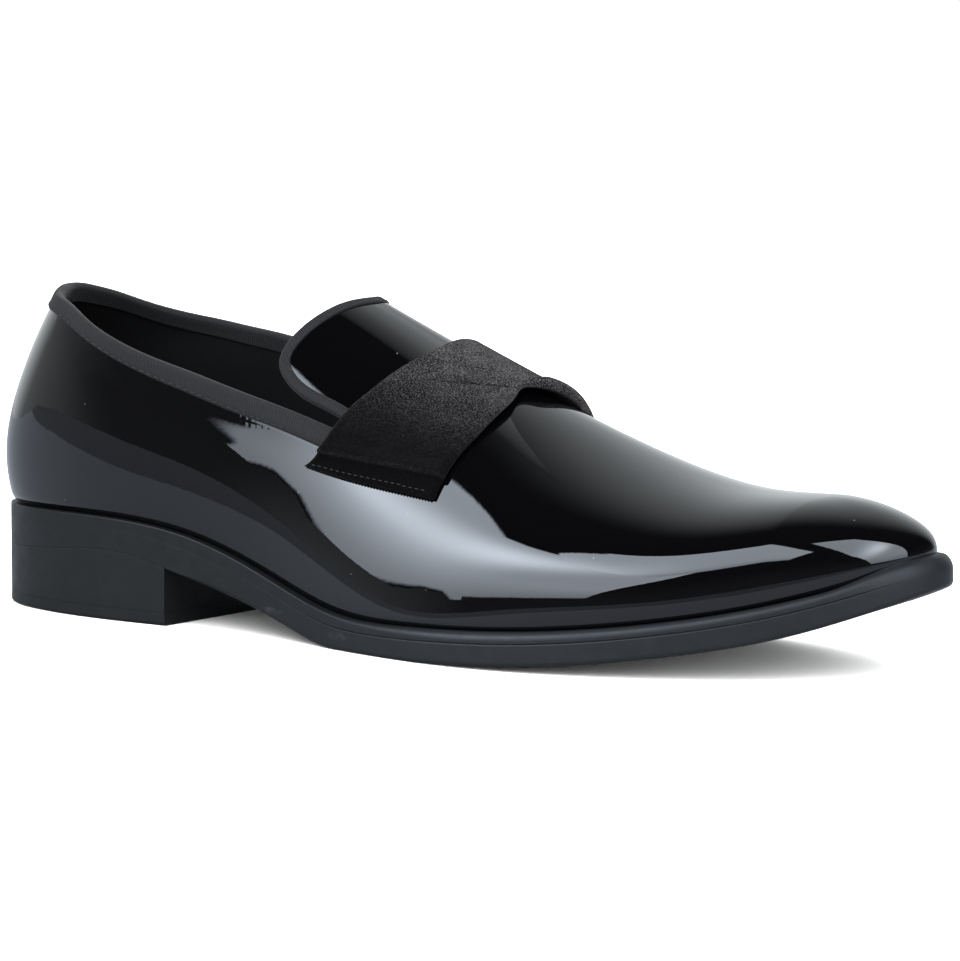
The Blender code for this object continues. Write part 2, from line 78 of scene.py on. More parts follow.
RIB_PITCH = 0.78        # cross ribs of the ribbon
RIB_DEPTH = 0.16
TONGUE_LEG = 2.5        # width of the tongue's binding, and its outer face above the leather
TONGUE_RIBBON = 0.55
VELVET = 1.9            # strap thickness
STRAP_RUN = 100.0       # strap, end to end over the vamp
SPINE_BACK = 34.0       # ribs of the heel fan out from here
SPINE_FRONT = 266.0     # ribs of the toe fan out from here
FLARE_ANGLE = 0.627     # angle up a rib at which the wall flares below the collar
FLARE_BAND = 0.109      # spread of that flare
SWING = 0.14            # how far the forefoot's slope turns to the inner side
SWING_FROM = 180.0      # where that turn starts and where it is full
SWING_FULL = 260.0
NOTCH = 144.0           # where the quarter's edge meets the tongue's edge, under the strap

# Mesh counts
QUARTER_RIBS = 170
VAMP_RIBS = 300
WALL_ROWS = 40
CROWN_ROWS = 60
TONGUE_ROWS = 34
SOLE_STATIONS = 150
STRAP_ROWS = 300
STRAP_COLUMNS = 64
RIB_SAMPLES = 4

# Sole edge seen from above: at = share of LENGTH, outer and inner = shares of BALL_WIDTH
Plan = namedtuple("Plan", "at outer inner")
PLAN = [
    Plan(0.030, 0.185, 0.182),
    Plan(0.106, 0.297, 0.293),
    Plan(0.205, 0.338, 0.313),
    Plan(0.358, 0.360, 0.290),
    Plan(0.497, 0.465, 0.355),
    Plan(0.636, 0.525, 0.456),
    Plan(0.768, 0.457, 0.450),
    Plan(0.887, 0.315, 0.330),
    Plan(0.970, 0.132, 0.191),
]
TOE_TIP_SIDE = 0.032    # toe tip's offset to the inner side, share of BALL_WIDTH

# Sections of the last, heel to toe. at: share of LENGTH; feather and base: top and bottom of the sole edge,
# shares of HEEL_HEIGHT; ridge: height above the feather, share of INSTEP; drift: the ridge's y, share of
# BALL_WIDTH; margin: sole edge beyond the upper, mm; fall and full: how a side falls and fills out;
# crown: roundness on top; flare: how far the wall turns out below the collar, share of the half width
Section = namedtuple(
    "Section", "at feather base ridge drift margin fall_out full_out fall_in full_in crown flare")
SECTIONS = [
    Section(0.00, 0.993, 0.592, 0.930, 0.000, 0.9, 5.10, 0.425, 5.10, 0.425, 1.00, 0.000),
    Section(0.10, 1.014, 0.641, 1.008, 0.000, 1.1, 1.50, 0.273, 1.48, 0.298, 1.00, 0.012),
    Section(0.20, 1.000, 0.680, 1.033, 0.000, 1.3, 1.03, 0.210, 1.08, 0.205, 1.00, 0.027),
    Section(0.28, 0.891, 0.493, 1.024, 0.008, 1.4, 1.09, 0.172, 1.10, 0.165, 1.00, 0.020),
    Section(0.36, 0.641, 0.268, 0.974, 0.019, 1.6, 1.12, 0.130, 1.04, 0.150, 1.00, 0.024),
    Section(0.46, 0.342, 0.000, 0.902, 0.032, 2.1, 1.15, 0.049, 0.95, 0.120, 1.00, 0.000),
    Section(0.56, 0.313, -0.005, 0.738, 0.043, 2.5, 1.025, -0.005, 0.89, 0.090, 0.99, 0.000),
    Section(0.68, 0.380, 0.056, 0.528, 0.050, 2.6, 1.00, 0.048, 0.86, 0.080, 0.95, 0.000),
    Section(0.80, 0.549, 0.232, 0.366, 0.043, 2.7, 0.90, 0.060, 0.85, 0.060, 0.88, 0.000),
    Section(0.90, 0.776, 0.456, 0.286, 0.035, 3.1, 0.88, 0.050, 0.86, 0.050, 0.76, 0.000),
    Section(1.00, 1.110, 0.840, 0.132, 0.030, 4.6, 0.98, 0.040, 0.98, 0.040, 0.70, 0.000),
]

# Collar edge. at: plan x of the rib's foot, mm; outer and inner: height of the edge on each side, mm;
# leg: width of the binding down the wall, mm
Collar = namedtuple("Collar", "at outer inner leg")
COLLAR = [
    Collar(0.0, 89.7, 89.7, 4.2),
    Collar(8.0, 89.4, 88.1, 4.2),
    Collar(16.0, 88.8, 86.3, 4.2),
    Collar(26.0, 88.2, 82.9, 4.2),
    Collar(36.0, 86.9, 80.1, 4.2),
    Collar(46.0, 82.9, 78.5, 4.2),
    Collar(56.0, 78.6, 77.2, 4.3),
    Collar(70.0, 73.7, 75.7, 4.5),
    Collar(84.0, 70.0, 73.3, 4.9),
    Collar(98.0, 66.3, 70.1, 5.2),
    Collar(112.0, 62.9, 66.3, 5.4),
    Collar(126.0, 59.1, 61.5, 5.6),
    Collar(135.0, 56.8, 58.0, 5.6),
    Collar(NOTCH, 56.2, 56.2, 5.6),
]

# Tongue edge from the notch to the ridge. root and turn: place between the notch (0) and the ridge (1), on
# the notch line and on the edge; at: the edge's x, mm
Tongue = namedtuple("Tongue", "root at turn")
TONGUE = [
    Tongue(0.000, NOTCH, 0.000),
    Tongue(0.040, 134.0, 0.030),
    Tongue(0.090, 125.5, 0.024),
    Tongue(0.150, 118.5, 0.026),
    Tongue(0.225, 113.5, 0.062),
    Tongue(0.310, 111.2, 0.140),
    Tongue(0.450, 112.7, 0.305),
    Tongue(0.610, 115.7, 0.505),
    Tongue(0.750, 118.4, 0.700),
    Tongue(0.880, 120.5, 0.870),
    Tongue(1.000, 121.3, 1.000),
]

# Velvet strap, a row per fold across the vamp. turn: degrees from the ridge, outer side negative; at: x, mm;
# lift: clear height above the vamp, mm; each at the strap's back edge and at its front edge
Strap = namedtuple("Strap", "turn_back at_back lift_back turn_front at_front lift_front")
STRAP = [
    Strap(-62.3, 126.3, 0.5, -56.0, 171.7, 0.5),
    Strap(-57.3, 131.0, 1.3, -49.7, 172.3, 0.6),
    Strap(-46.1, 135.9, 1.4, -40.3, 173.6, 0.9),
    Strap(-37.3, 140.3, 1.3, -31.9, 175.0, 1.2),
    Strap(-26.6, 144.3, 1.2, -21.3, 175.3, 1.7),
    Strap(-15.8, 147.3, 1.1, -12.4, 174.3, 2.1),
    Strap(-6.1, 147.8, 1.1, -4.8, 172.3, 2.3),
    Strap(5.0, 147.4, 1.2, 4.0, 174.2, 2.1),
    Strap(14.0, 146.6, 1.4, 14.0, 175.6, 1.5),
    Strap(26.0, 144.6, 1.4, 25.0, 175.8, 1.0),
    Strap(38.0, 141.0, 1.4, 36.0, 175.4, 0.7),
    Strap(50.0, 136.4, 1.3, 46.0, 174.6, 0.6),
    Strap(60.0, 132.0, 0.5, 54.0, 173.6, 0.5),
]
STRAP_ROUND = 0.045     # rounded edge of the strap, share of its width
FAR_ROLL = 0.75         # roll of its front edge on the inner side, share of VELVET
HEM = 6.0               # flat sewn end of the strap, mm
HEM_THICK = 0.42        # its thickness, share of VELVET
HEM_ROLL = 0.35         # extra height of the roll above it, share of VELVET
HEM_SEAM = 1.7          # stitches of the hem, from its end, mm
TEETH = 42              # teeth cut along each end of the strap
TOOTH = 0.55            # their length, mm
TOOTH_ROOT = 0.15       # how far they reach under the velvet, mm

# Dart across the strap. row: share from the outer end; share: place from the back edge
Dart = namedtuple("Dart", "row share")
DART = [Dart(0.328, 0.320), Dart(0.375, 0.635), Dart(0.450, 0.990)]
DART_DEPTH = 0.45       # mm
DART_WIDTH = 0.346      # mm, from its middle to a third of its depth

# Sewing threads, mm: length of a stitch, from stitch to stitch, radius, and the height of its arch
Thread = namedtuple("Thread", "stitch pitch radius rise")
COLLAR_THREAD = Thread(1.9, 2.6, 0.17, 0.12)
TONGUE_THREAD = Thread(1.7, 2.4, 0.15, 0.10)
HEM_THREAD = Thread(1.3, 2.1, 0.14, 0.06)
DART_THREAD = Thread(1.2, 1.9, 0.16, 0.10)

# Camera: where it looks, mm; turn from the outer side toward the toe and height, degrees; distance, mm;
# focal length and principal point, pixels of the 960 x 961 image
LOOK_AT = np.array([150.0, 0.0, 40.8])
CAMERA_TURN = 35.43
CAMERA_HEIGHT = 6.37
CAMERA_AWAY = 1412.0
IMAGE_SIZE = (960, 961)
FOCAL = 5207.0
PRINCIPAL = (453.4, 484.9)


def cubic(knots, values, bend):
    """Function of the place along the knots, from the values and the second slopes at them."""
    step = np.diff(knots)

    def value(x):
        i = np.clip(np.searchsorted(knots, x, side="right") - 1, 0, len(step) - 1)
        shape = np.shape(x) + (1,) * (values.ndim - 1)
        after = np.reshape(knots[i + 1] - x, shape)
        before = np.reshape(x - knots[i], shape)
        width = np.reshape(step[i], shape)
        curved = (bend[i] * after ** 3 + bend[i + 1] * before ** 3) / (6 * width)
        start = (values[i] / width - bend[i] * width / 6) * after
        end = (values[i + 1] / width - bend[i + 1] * width / 6) * before
        return curved + start + end

    return value


def spline(xs, ys):
    """Natural cubic through the points."""
    xs = np.array(xs, float)
    ys = np.array(ys, float)
    step = np.diff(xs)
    slope = np.diff(ys) / step
    matrix = np.eye(len(xs))
    right = np.zeros(len(xs))
    for i in range(1, len(xs) - 1):
        matrix[i, i - 1:i + 2] = step[i - 1], 2 * (step[i - 1] + step[i]), step[i]
        right[i] = 6 * (slope[i] - slope[i - 1])
    value = cubic(xs, ys, np.linalg.solve(matrix, right))
    return lambda x: value(np.clip(np.asarray(x, float), xs[0], xs[-1]))


def ring(points):
    """Closed cubic through the points, from 0 to its own length, and that length."""
    points = np.array(points, float)
    count = len(points)
    moves = np.roll(points, -1, axis=0) - points
    chords = np.linalg.norm(moves, axis=1) ** 0.5
    slope = moves / chords[:, None]
    knots = np.concatenate([[0.0], np.cumsum(chords)])
    matrix = np.zeros((count, count))
    for i in range(count):
        matrix[i, i - 1] += chords[i - 1]
        matrix[i, i] += 2 * (chords[i - 1] + chords[i])
        matrix[i, (i + 1) % count] += chords[i]
    bend = np.linalg.solve(matrix, 6 * (slope - np.roll(slope, 1, axis=0)))
    value = cubic(knots, np.concatenate([points, points[:1]]), np.concatenate([bend, bend[:1]]))
    return lambda u: value(np.mod(np.asarray(u, float), knots[-1])), knots[-1]


def smooth(low, high, x):
    """0 below low, 1 above high, an even curve between."""
    t = np.clip((np.asarray(x, float) - low) / (high - low), 0.0, 1.0)
    return t * t * (3 - 2 * t)


# Sole edge as one closed curve: heel back, outer side, toe tip, inner side
outer_points = [(row.at * LENGTH, -row.outer * BALL_WIDTH) for row in PLAN]
inner_points = [(row.at * LENGTH, row.inner * BALL_WIDTH) for row in reversed(PLAN)]
toe_tip = (LENGTH, TOE_TIP_SIDE * BALL_WIDTH)
outline, ROUND = ring([(0.0, 0.0)] + outer_points + [toe_tip] + inner_points)

section_x = [row.at * LENGTH for row in SECTIONS]


def along_foot(column, size=1.0):
    """A column of the sections as a function of x."""
    return spline(section_x, [getattr(row, column) * size for row in SECTIONS])


feather_line = along_foot("feather", HEEL_HEIGHT)
base_line = along_foot("base", HEEL_HEIGHT)
ridge = along_foot("ridge", INSTEP)
drift = along_foot("drift", BALL_WIDTH)
margin = along_foot("margin")
fall_out = along_foot("fall_out")
full_out = along_foot("full_out")
fall_in = along_foot("fall_in")
full_in = along_foot("full_in")
crown = along_foot("crown")
flare = along_foot("flare")

# Outline parameter for an x on either side
fine_u = np.linspace(0.0, ROUND, 8001)
fine_edge = outline(fine_u[:-1])
toe_index = int(np.argmax(fine_edge[:, 0]))
TOE_U = fine_u[toe_index]


def foot_at(x, outer):
    """Outline parameter of the rib that stands at x."""
    on_outer = np.interp(x, fine_edge[:toe_index, 0], fine_u[:toe_index])
    on_inner = np.interp(x, fine_edge[toe_index:, 0][::-1], fine_u[toe_index:-1][::-1])
    return np.where(outer, on_outer, on_inner)


def stride(x, y):
    """Place along the foot, which the forefoot's swing moves sideways."""
    return x + SWING * y * smooth(SWING_FROM, SWING_FULL, x)


def feather(x, y):
    """Edge where the upper meets the sole."""
    return feather_line(stride(x, y))


def base(x, y):
    """Underside of the sole, flat where it meets the floor."""
    return np.maximum(base_line(stride(x, y)), 0.0)


def skin(u, angle):
    """Outer face of the upper on the rib at u; angle: 0 at the feather, a right angle at the ridge."""
    foot = outline(u)
    spine_x = np.clip(foot[..., 0], SPINE_BACK, SPINE_FRONT)
    spine_y = drift(spine_x)
    reach_x = foot[..., 0] - spine_x
    reach_y = foot[..., 1] - spine_y
    span = np.hypot(reach_x, reach_y)
    inset = (span - margin(foot[..., 0])) / span
    outer = smooth(-15.0, 15.0, -reach_y)
    fall = outer * fall_out(foot[..., 0]) + (1 - outer) * fall_in(foot[..., 0])
    full = outer * full_out(foot[..., 0]) + (1 - outer) * full_in(foot[..., 0])
    collar_band = np.exp(-((angle - FLARE_ANGLE) / FLARE_BAND) ** 2)
    across = np.maximum(np.cos(angle), 0.0) ** fall + full * np.sin(2 * angle)
    across = inset * (across + flare(foot[..., 0]) * collar_band)
    x = spine_x + reach_x * across
    y = spine_y + reach_y * across
    z = feather(x, y) + ridge(x) * np.sin(angle) ** crown(foot[..., 0])
    return np.stack([x, y, z], axis=-1)


def over(x, turn):
    """Outer face of the upper at x and at an angle from the ridge, outer side negative."""
    outer = np.asarray(turn) < 0
    return skin(foot_at(x, outer), np.pi / 2 - np.abs(turn))


def unit(vectors):
    return vectors / np.linalg.norm(vectors, axis=-1, keepdims=True)


def over_frame(x, turn):
    """Point, unit normal and the two slopes of the upper at x and turn."""
    small_x, small_turn = 0.2, 0.004
    by_x = (over(x + small_x, turn) - over(x - small_x, turn)) / (2 * small_x)
    by_turn = (over(x, turn + small_turn) - over(x, turn - small_turn)) / (2 * small_turn)
    return over(x, turn), unit(np.cross(by_x, by_turn)), by_x, by_turn


def edge_angle(u, height):
    """Angle on the rib at which the upper reaches a height."""
    low = np.zeros_like(u)
    high = np.full_like(u, np.pi / 2)
    for _ in range(40):
        middle = (low + high) / 2
        below = skin(u, middle)[..., 2] < height
        low = np.where(below, middle, low)
        high = np.where(below, high, middle)
    return (low + high) / 2


def run_length(points):
    """Distance travelled along a row of points."""
    steps = np.linalg.norm(np.diff(points, axis=0), axis=-1)
    return np.concatenate([np.zeros((1,) + steps.shape[1:]), np.cumsum(steps, axis=0)])


collar_outer = spline([row.at for row in COLLAR], [row.outer for row in COLLAR])
collar_inner = spline([row.at for row in COLLAR], [row.inner for row in COLLAR])
collar_leg = spline([row.at for row in COLLAR], [row.leg for row in COLLAR])

tongue_step = np.linspace(0.0, 1.0, len(TONGUE))
tongue_root = spline(tongue_step, [row.root for row in TONGUE])
tongue_at = spline(tongue_step, [row.at for row in TONGUE])
tongue_turn = spline(tongue_step, [row.turn for row in TONGUE])

u_out = float(foot_at(NOTCH, True))
u_in = float(foot_at(NOTCH, False))


def quarter_edge(count):
    """Ribs of the quarters, outer notch round the heel to inner notch: parameter and collar angle."""
    back_out = np.linspace(u_out, 0.0, count + 1)
    back_in = np.linspace(ROUND, u_in, count + 1)
    u = np.concatenate([back_out, back_in[1:]])
    outer = np.arange(len(u)) <= count
    x = outline(u)[:, 0]
    height = np.where(outer, collar_outer(x), collar_inner(x))
    return u, edge_angle(u, height)


quarter_u, collar_angle = quarter_edge(QUARTER_RIBS)
NOTCH_OUT = collar_angle[0]
NOTCH_IN = collar_angle[-1]


def tongue_lines(count):
    """Columns of the tongue, outer to inner: angle at the notch line, the edge's x and its angle."""
    step = np.linspace(0.0, 1.0, count + 1)
    reach_out = np.pi / 2 - NOTCH_OUT
    reach_in = np.pi / 2 - NOTCH_IN
    root_out = (tongue_root(step) - 1) * reach_out
    turn_out = (tongue_turn(step) - 1) * reach_out
    root_in = (1 - tongue_root(step)) * reach_in
    turn_in = (1 - tongue_turn(step)) * reach_in
    edge_x = tongue_at(step)
    root = np.concatenate([root_out, root_in[::-1][1:]])
    turn = np.concatenate([turn_out, turn_in[::-1][1:]])
    return root, np.concatenate([edge_x, edge_x[::-1][1:]]), turn


# Meshes

def to_frame(points):
    """Shoe millimetres to the frame's metres."""
    return (np.asarray(points, float) - SHOE_MIDDLE) * MM


def grid_faces(rows, columns, wrap=False, start=0):
    """Quads between the rows of a grid of points; wrap closes each row on itself."""
    index = start + np.arange(rows * columns).reshape(rows, columns)
    if wrap:
        index = np.concatenate([index, index[:, :1]], axis=1)
    corners = [index[:-1, :-1], index[1:, :-1], index[1:, 1:], index[:-1, 1:]]
    return np.stack(corners, axis=-1).reshape(-1, 4).tolist()


def new_object(name, data):
    """Object in the scene."""
    item = bpy.data.objects.new(name, data)
    bpy.context.scene.collection.objects.link(item)
    return item


def add_piece(mesh, shade, slot, node=None, sharp=40.0):
    """One smooth piece of the shoe, named as its mesh and standing for its CAD node if it has one."""
    mesh.shade_smooth()
    mesh.set_sharp_from_angle(angle=math.radians(sharp))
    mesh.materials.append(shade)
    item = new_object(mesh.name, mesh)
    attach(item, "root")
    if node:
        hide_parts(node)


def solid_mesh(name, points, faces, values=None):
    """Closed mesh from points in shoe millimetres, faces turned outward, named values on its points."""
    sheet = bmesh.new()
    layers = {key: sheet.verts.layers.float.new(key) for key in (values or {})}
    verts = [sheet.verts.new(p) for p in to_frame(points)]
    for key, layer in layers.items():
        for vert, number in zip(verts, values[key]):
            vert[layer] = number
    for face in faces:
        sheet.faces.new([verts[i] for i in face])
    bmesh.ops.remove_doubles(sheet, verts=sheet.verts[:], dist=0.002 * MM)
    bmesh.ops.dissolve_degenerate(sheet, edges=sheet.edges[:], dist=0.002 * MM)
    bmesh.ops.recalc_face_normals(sheet, faces=sheet.faces[:])
    mesh = bpy.data.meshes.new(name)
    sheet.to_mesh(mesh)
    sheet.free()
    return mesh


# Materials

class Nodes:
    """Short hand for the nodes of a tree."""

    def __init__(self, tree):
        self.tree = tree

    def node(self, kind, inputs=None, **settings):
        made = self.tree.nodes.new(kind)
        for key, value in settings.items():
            setattr(made, key, value)
        for key, value in (inputs or {}).items():
            if isinstance(value, bpy.types.NodeSocket):
                self.tree.links.new(value, made.inputs[key])
            else:
                made.inputs[key].default_value = value
        return made

    def math(self, operation, a, b=0.0, clamp=False):
        return self.node("ShaderNodeMath", {0: a, 1: b}, operation=operation, use_clamp=clamp).outputs[0]

    def vector(self, operation, a, b=(0.0, 0.0, 0.0), output=0):
        return self.node("ShaderNodeVectorMath", {0: a, 1: b}, operation=operation).outputs[output]

    def ramp(self, value, low, high, start=0.0, end=1.0):
        """Even step of a value from start to end."""
        inputs = {0: value, 1: low, 2: high, 3: start, 4: end}
        return self.node("ShaderNodeMapRange", inputs, interpolation_type="SMOOTHSTEP").outputs[0]

    def place(self):
        """Coordinates in metres of the frame."""
        return self.node("ShaderNodeTexCoord").outputs["Object"]

    def noise(self, per_metre, detail=2.0, rough=0.5):
        inputs = {"Vector": self.place(), "Scale": per_metre, "Detail": detail, "Roughness": rough}
        return self.node("ShaderNodeTexNoise", inputs).outputs["Fac"]

    def attribute(self, name):
        return self.node("ShaderNodeAttribute", attribute_name=name).outputs["Fac"]

    def mix(self, share, first, second):
        """Blend of two colours."""
        ends = [end if isinstance(end, bpy.types.NodeSocket) else (*end, 1.0) for end in (first, second)]
        return self.node("ShaderNodeMix", {0: share, 6: ends[0], 7: ends[1]}, data_type="RGBA").outputs[2]

    def near(self, point, reach, flat):
        """1 at a point given in shoe millimetres, 0 beyond reach, mm, and sooner up and down by flat."""
        away = self.vector("SUBTRACT", self.place(), tuple(to_frame(point)))
        away = self.vector("MULTIPLY", away, (1.0, 1.0, flat))
        far = self.vector("LENGTH", away, output="Value")
        return self.ramp(far, 0.3 * reach * MM, reach * MM, 1.0, 0.0)


class Shader(Nodes):
    """Node material with one Principled surface."""

    def __init__(self, name):
        self.material = bpy.data.materials.new(name)
        self.material.use_nodes = True
        super().__init__(self.material.node_tree)
        self.surface = self.tree.nodes["Principled BSDF"]

    def set(self, **values):
        for key, value in values.items():
            self.surface.inputs[key.replace("_", " ")].default_value = value

    def link(self, socket, *names):
        for name in names:
            self.tree.links.new(socket, self.surface.inputs[name])

    def bump(self, height, *names):
        """Height in millimetres."""
        made = self.node("ShaderNodeBump", {"Height": height, "Strength": 1.0, "Distance": MM})
        self.link(made.outputs[0], *names)


def patent_shade():
    """Black leather under a thick clear coat, faintly wavy, rolled out and puckered beside the binding."""
    s = Shader("patent")
    s.set(Roughness=0.6, Specular_IOR_Level=0.0, Coat_Weight=1.0, Coat_Roughness=0.012, Coat_IOR=1.46)
    wave = s.math("MULTIPLY", s.noise(70.0, 1.0), 0.020)
    peel = s.math("MULTIPLY", s.noise(900.0, 1.0), 0.0021)
    along = s.math("MULTIPLY", s.attribute("along"), 2 * math.pi / 2.2)
    fade = s.math("POWER", 0.52, s.attribute("below"))
    pucker = s.math("MULTIPLY", s.math("MULTIPLY", s.math("COSINE", along), fade), 0.005)
    roll = s.math("MULTIPLY", s.math("POWER", 0.60, s.attribute("below")), 0.18)
    height = s.math("ADD", s.math("ADD", wave, peel), s.math("ADD", pucker, roll))
    s.bump(height, "Normal", "Coat Normal")
    cells = s.node("ShaderNodeTexVoronoi", {"Vector": s.place(), "Scale": 120.0})
    speck = s.math("LESS_THAN", cells.outputs["Distance"], 0.028)
    chance = s.node("ShaderNodeSeparateColor", {0: cells.outputs["Color"]}).outputs[0]
    chosen = s.math("GREATER_THAN", chance, 0.45)
    dust = s.math("MULTIPLY", speck, chosen)
    s.link(s.mix(dust, (0.0005, 0.0005, 0.0007), (0.055, 0.055, 0.055)), "Base Color")
    return s.material


def lining_shade():
    """Black lining leather with a fine grain."""
    s = Shader("lining")
    s.set(Roughness=0.62, Specular_IOR_Level=0.08)
    grain = s.noise(1400.0, 3.0)
    s.link(s.mix(s.noise(60.0), (0.0006, 0.0006, 0.0007), (0.0013, 0.0013, 0.0015)), "Base Color")
    s.bump(s.math("MULTIPLY", grain, 0.05), "Normal")
    return s.material


def ribbon_shade():
    """Dark grosgrain with a painted highlight: paler on the crowns of its ribs."""
    s = Shader("ribbon")
    s.set(Roughness=0.72, Specular_IOR_Level=0.10, Sheen_Weight=0.05, Sheen_Roughness=0.45)
    thread = s.noise(3500.0, 2.0)
    # painted highlight: paler colour on the crowns of the ribs
    painted_crown_highlight = s.ramp(s.attribute("crown"), 0.0, 1.0)
    s.link(s.mix(painted_crown_highlight, (0.0019, 0.0020, 0.0024), (0.0058, 0.0060, 0.0068)), "Base Color")
    s.bump(s.math("MULTIPLY", thread, 0.05), "Normal")
    return s.material


def velvet_shade():
    """Charcoal pile with speckle; its colour carries painted light and shade, read from a value on the
    strap's points.
    """
    s = Shader("velvet")
    s.set(Roughness=0.95, Specular_IOR_Level=0.0, Sheen_Weight=0.04, Sheen_Roughness=0.35)
    s.set(Sheen_Tint=(0.72, 0.70, 0.76, 1.0))
    speckle = s.noise(2500.0, 2.0, 0.7)
    patches = s.noise(160.0, 3.0)
    fibres = s.math("ADD", s.ramp(speckle, 0.43, 0.72), s.ramp(patches, 0.35, 0.75, 0.0, 0.14), clamp=True)
    # painted light and shade: the base colour runs from dark to pale by the strap's painted value, speckled
    # by the fibres
    painted_light = s.math("MULTIPLY", fibres, s.attribute("painted_light"))
    s.link(s.mix(painted_light, (0.0012, 0.0012, 0.0014), (0.0560, 0.0548, 0.0585)), "Base Color")
    s.bump(s.math("MULTIPLY", speckle, 0.35), "Normal")
    return s.material


SCUFFS = [(143.9, -44.4, 3.9), (115.6, -36.9, 7.7)]   # pale scuffs on the outer edge of the sole, mm


def sole_shade():
    """Satin black edge paint, slightly blue, with pale rubs near the bottom edge, and painted shade that
    darkens it toward the heel.
    """
    s = Shader("sole_edge")
    s.set(Specular_IOR_Level=0.16)
    drift_noise = s.noise(45.0, 3.0)
    rub = s.ramp(s.noise(170.0, 4.0, 0.6), 0.70, 0.82, 0.0, 0.10)
    clean = s.mix(drift_noise, (0.0038, 0.0045, 0.0054), (0.0047, 0.0056, 0.0066))
    # painted shade: a darker colour toward the heel, blended in along x below
    rear_shade = s.mix(drift_noise, (0.0024, 0.0028, 0.0030), (0.0031, 0.0035, 0.0038))
    length = s.node("ShaderNodeSeparateXYZ", {0: s.place()}).outputs[0]
    forward = s.ramp(length, -0.080, 0.020)
    rubbed_and_shaded = s.mix(rub, s.mix(forward, rear_shade, clean), (0.045, 0.048, 0.050))
    scuffs = s.math("ADD", *[s.near(point, 5.5, 4.0) for point in SCUFFS])
    scuffs = s.math("MULTIPLY", scuffs, s.ramp(s.noise(500.0, 2.0), 0.35, 0.6))
    s.link(s.mix(scuffs, rubbed_and_shaded, (0.012, 0.014, 0.016)), "Base Color")
    s.link(s.ramp(s.noise(220.0, 3.0), 0.3, 0.7, 0.40, 0.48), "Roughness")
    s.bump(s.math("MULTIPLY", s.noise(900.0, 3.0), 0.035), "Normal")
    return s.material


def thread_shade(name, colour):
    """Twisted sewing thread."""
    s = Shader(name)
    s.set(Roughness=0.6, Specular_IOR_Level=0.3)
    dark, pale = [tuple(share * c for c in colour) for share in (0.6, 1.3)]
    s.link(s.mix(s.noise(4000.0), dark, pale), "Base Color")
    return s.material


PATENT = patent_shade()
LINING = lining_shade()
RIBBED = ribbon_shade()
PILE = velvet_shade()
SOLE = sole_shade()
BLACK_THREAD = thread_shade("black_thread", (0.002, 0.002, 0.0025))
GREY_THREAD = thread_shade("grey_thread", (0.0058, 0.0058, 0.0062))


# Upper and lining

def tucked(u, angle):
    """Outer face of the upper, turned in where it meets the sole."""
    points = skin(u, angle)
    foot = outline(u)
    spine_x = np.clip(foot[..., 0], SPINE_BACK, SPINE_FRONT)
    inward = unit(np.stack([spine_x - foot[..., 0], drift(spine_x) - foot[..., 1]], axis=-1))
    band = TUCK_HEEL + (TUCK_TOE - TUCK_HEEL) * smooth(*TUCK_CHANGE, foot[..., 0])
    height = points[..., 2] - feather(points[..., 0], points[..., 1])
    low = 1 - np.clip(height / band, 0.0, 1.0)
    tuck = TUCK * (1 - TUCK_LOSS * smooth(*TUCK_FADE, foot[..., 0]))
    points[..., :2] += inward * (tuck * low ** 2)[..., None]
    points[..., 2] = feather(points[..., 0], points[..., 1]) + height
    return points


def upper_sheet():
    """Outer face of the upper as one bmesh, with each vertex's place along and below the collar's binding."""
    share = np.linspace(0.0, 1.0, WALL_ROWS + 1) ** 1.5
    quarters = tucked(quarter_u[:, None], collar_angle[:, None] * share[None])
    edge_along = run_length(quarters[:, -1])
    edge_below = np.flip(run_length(np.flip(np.swapaxes(quarters, 0, 1), axis=0)), axis=0).T

    vamp_u = np.concatenate([
        np.linspace(u_out, TOE_U, VAMP_RIBS // 2 + 1),
        np.linspace(TOE_U, u_in, VAMP_RIBS // 2 + 1)[1:],
    ])
    to_inner = (vamp_u - u_out) / (u_in - u_out)
    split = NOTCH_OUT + (NOTCH_IN - NOTCH_OUT) * to_inner
    wall = tucked(vamp_u[:, None], split[:, None] * share[None])
    climb = tongue_root(np.linspace(0.0, 1.0, CROWN_ROWS + 1))
    top = skin(vamp_u[:, None], split[:, None] + (np.pi / 2 - split[:, None]) * climb[None])

    root, edge_x, edge_turn = tongue_lines(CROWN_ROWS)
    back = np.linspace(0.0, 1.0, TONGUE_ROWS + 1)[:, None]
    tongue = over(NOTCH + (edge_x - NOTCH)[None] * back, root[None] + (edge_turn - root)[None] * back)

    sheet = bmesh.new()
    below = sheet.verts.layers.float.new("below")
    along = sheet.verts.layers.float.new("along")
    for points in (quarters, wall, top, tongue):
        rows, columns = points.shape[:2]
        verts = [sheet.verts.new(p) for p in to_frame(points).reshape(-1, 3)]
        for i, vert in enumerate(verts):
            vert[below] = 99.0
            if points is quarters:
                leg = collar_leg(points[i // columns, 0, 0])
                vert[below] = max(edge_below[i // columns, i % columns] - leg, 0.0)
                vert[along] = edge_along[i // columns]
        for face in grid_faces(rows, columns):
            sheet.faces.new([verts[k] for k in face])
    bmesh.ops.remove_doubles(sheet, verts=sheet.verts[:], dist=0.005 * MM)
    bmesh.ops.dissolve_degenerate(sheet, edges=sheet.edges[:], dist=0.005 * MM)
    bmesh.ops.recalc_face_normals(sheet, faces=sheet.faces[:])
    sheet.normal_update()
    lowest = min(sheet.verts, key=lambda v: v.co.y)
    if lowest.normal.y > 0:
        bmesh.ops.reverse_faces(sheet, faces=sheet.faces[:])
    return sheet


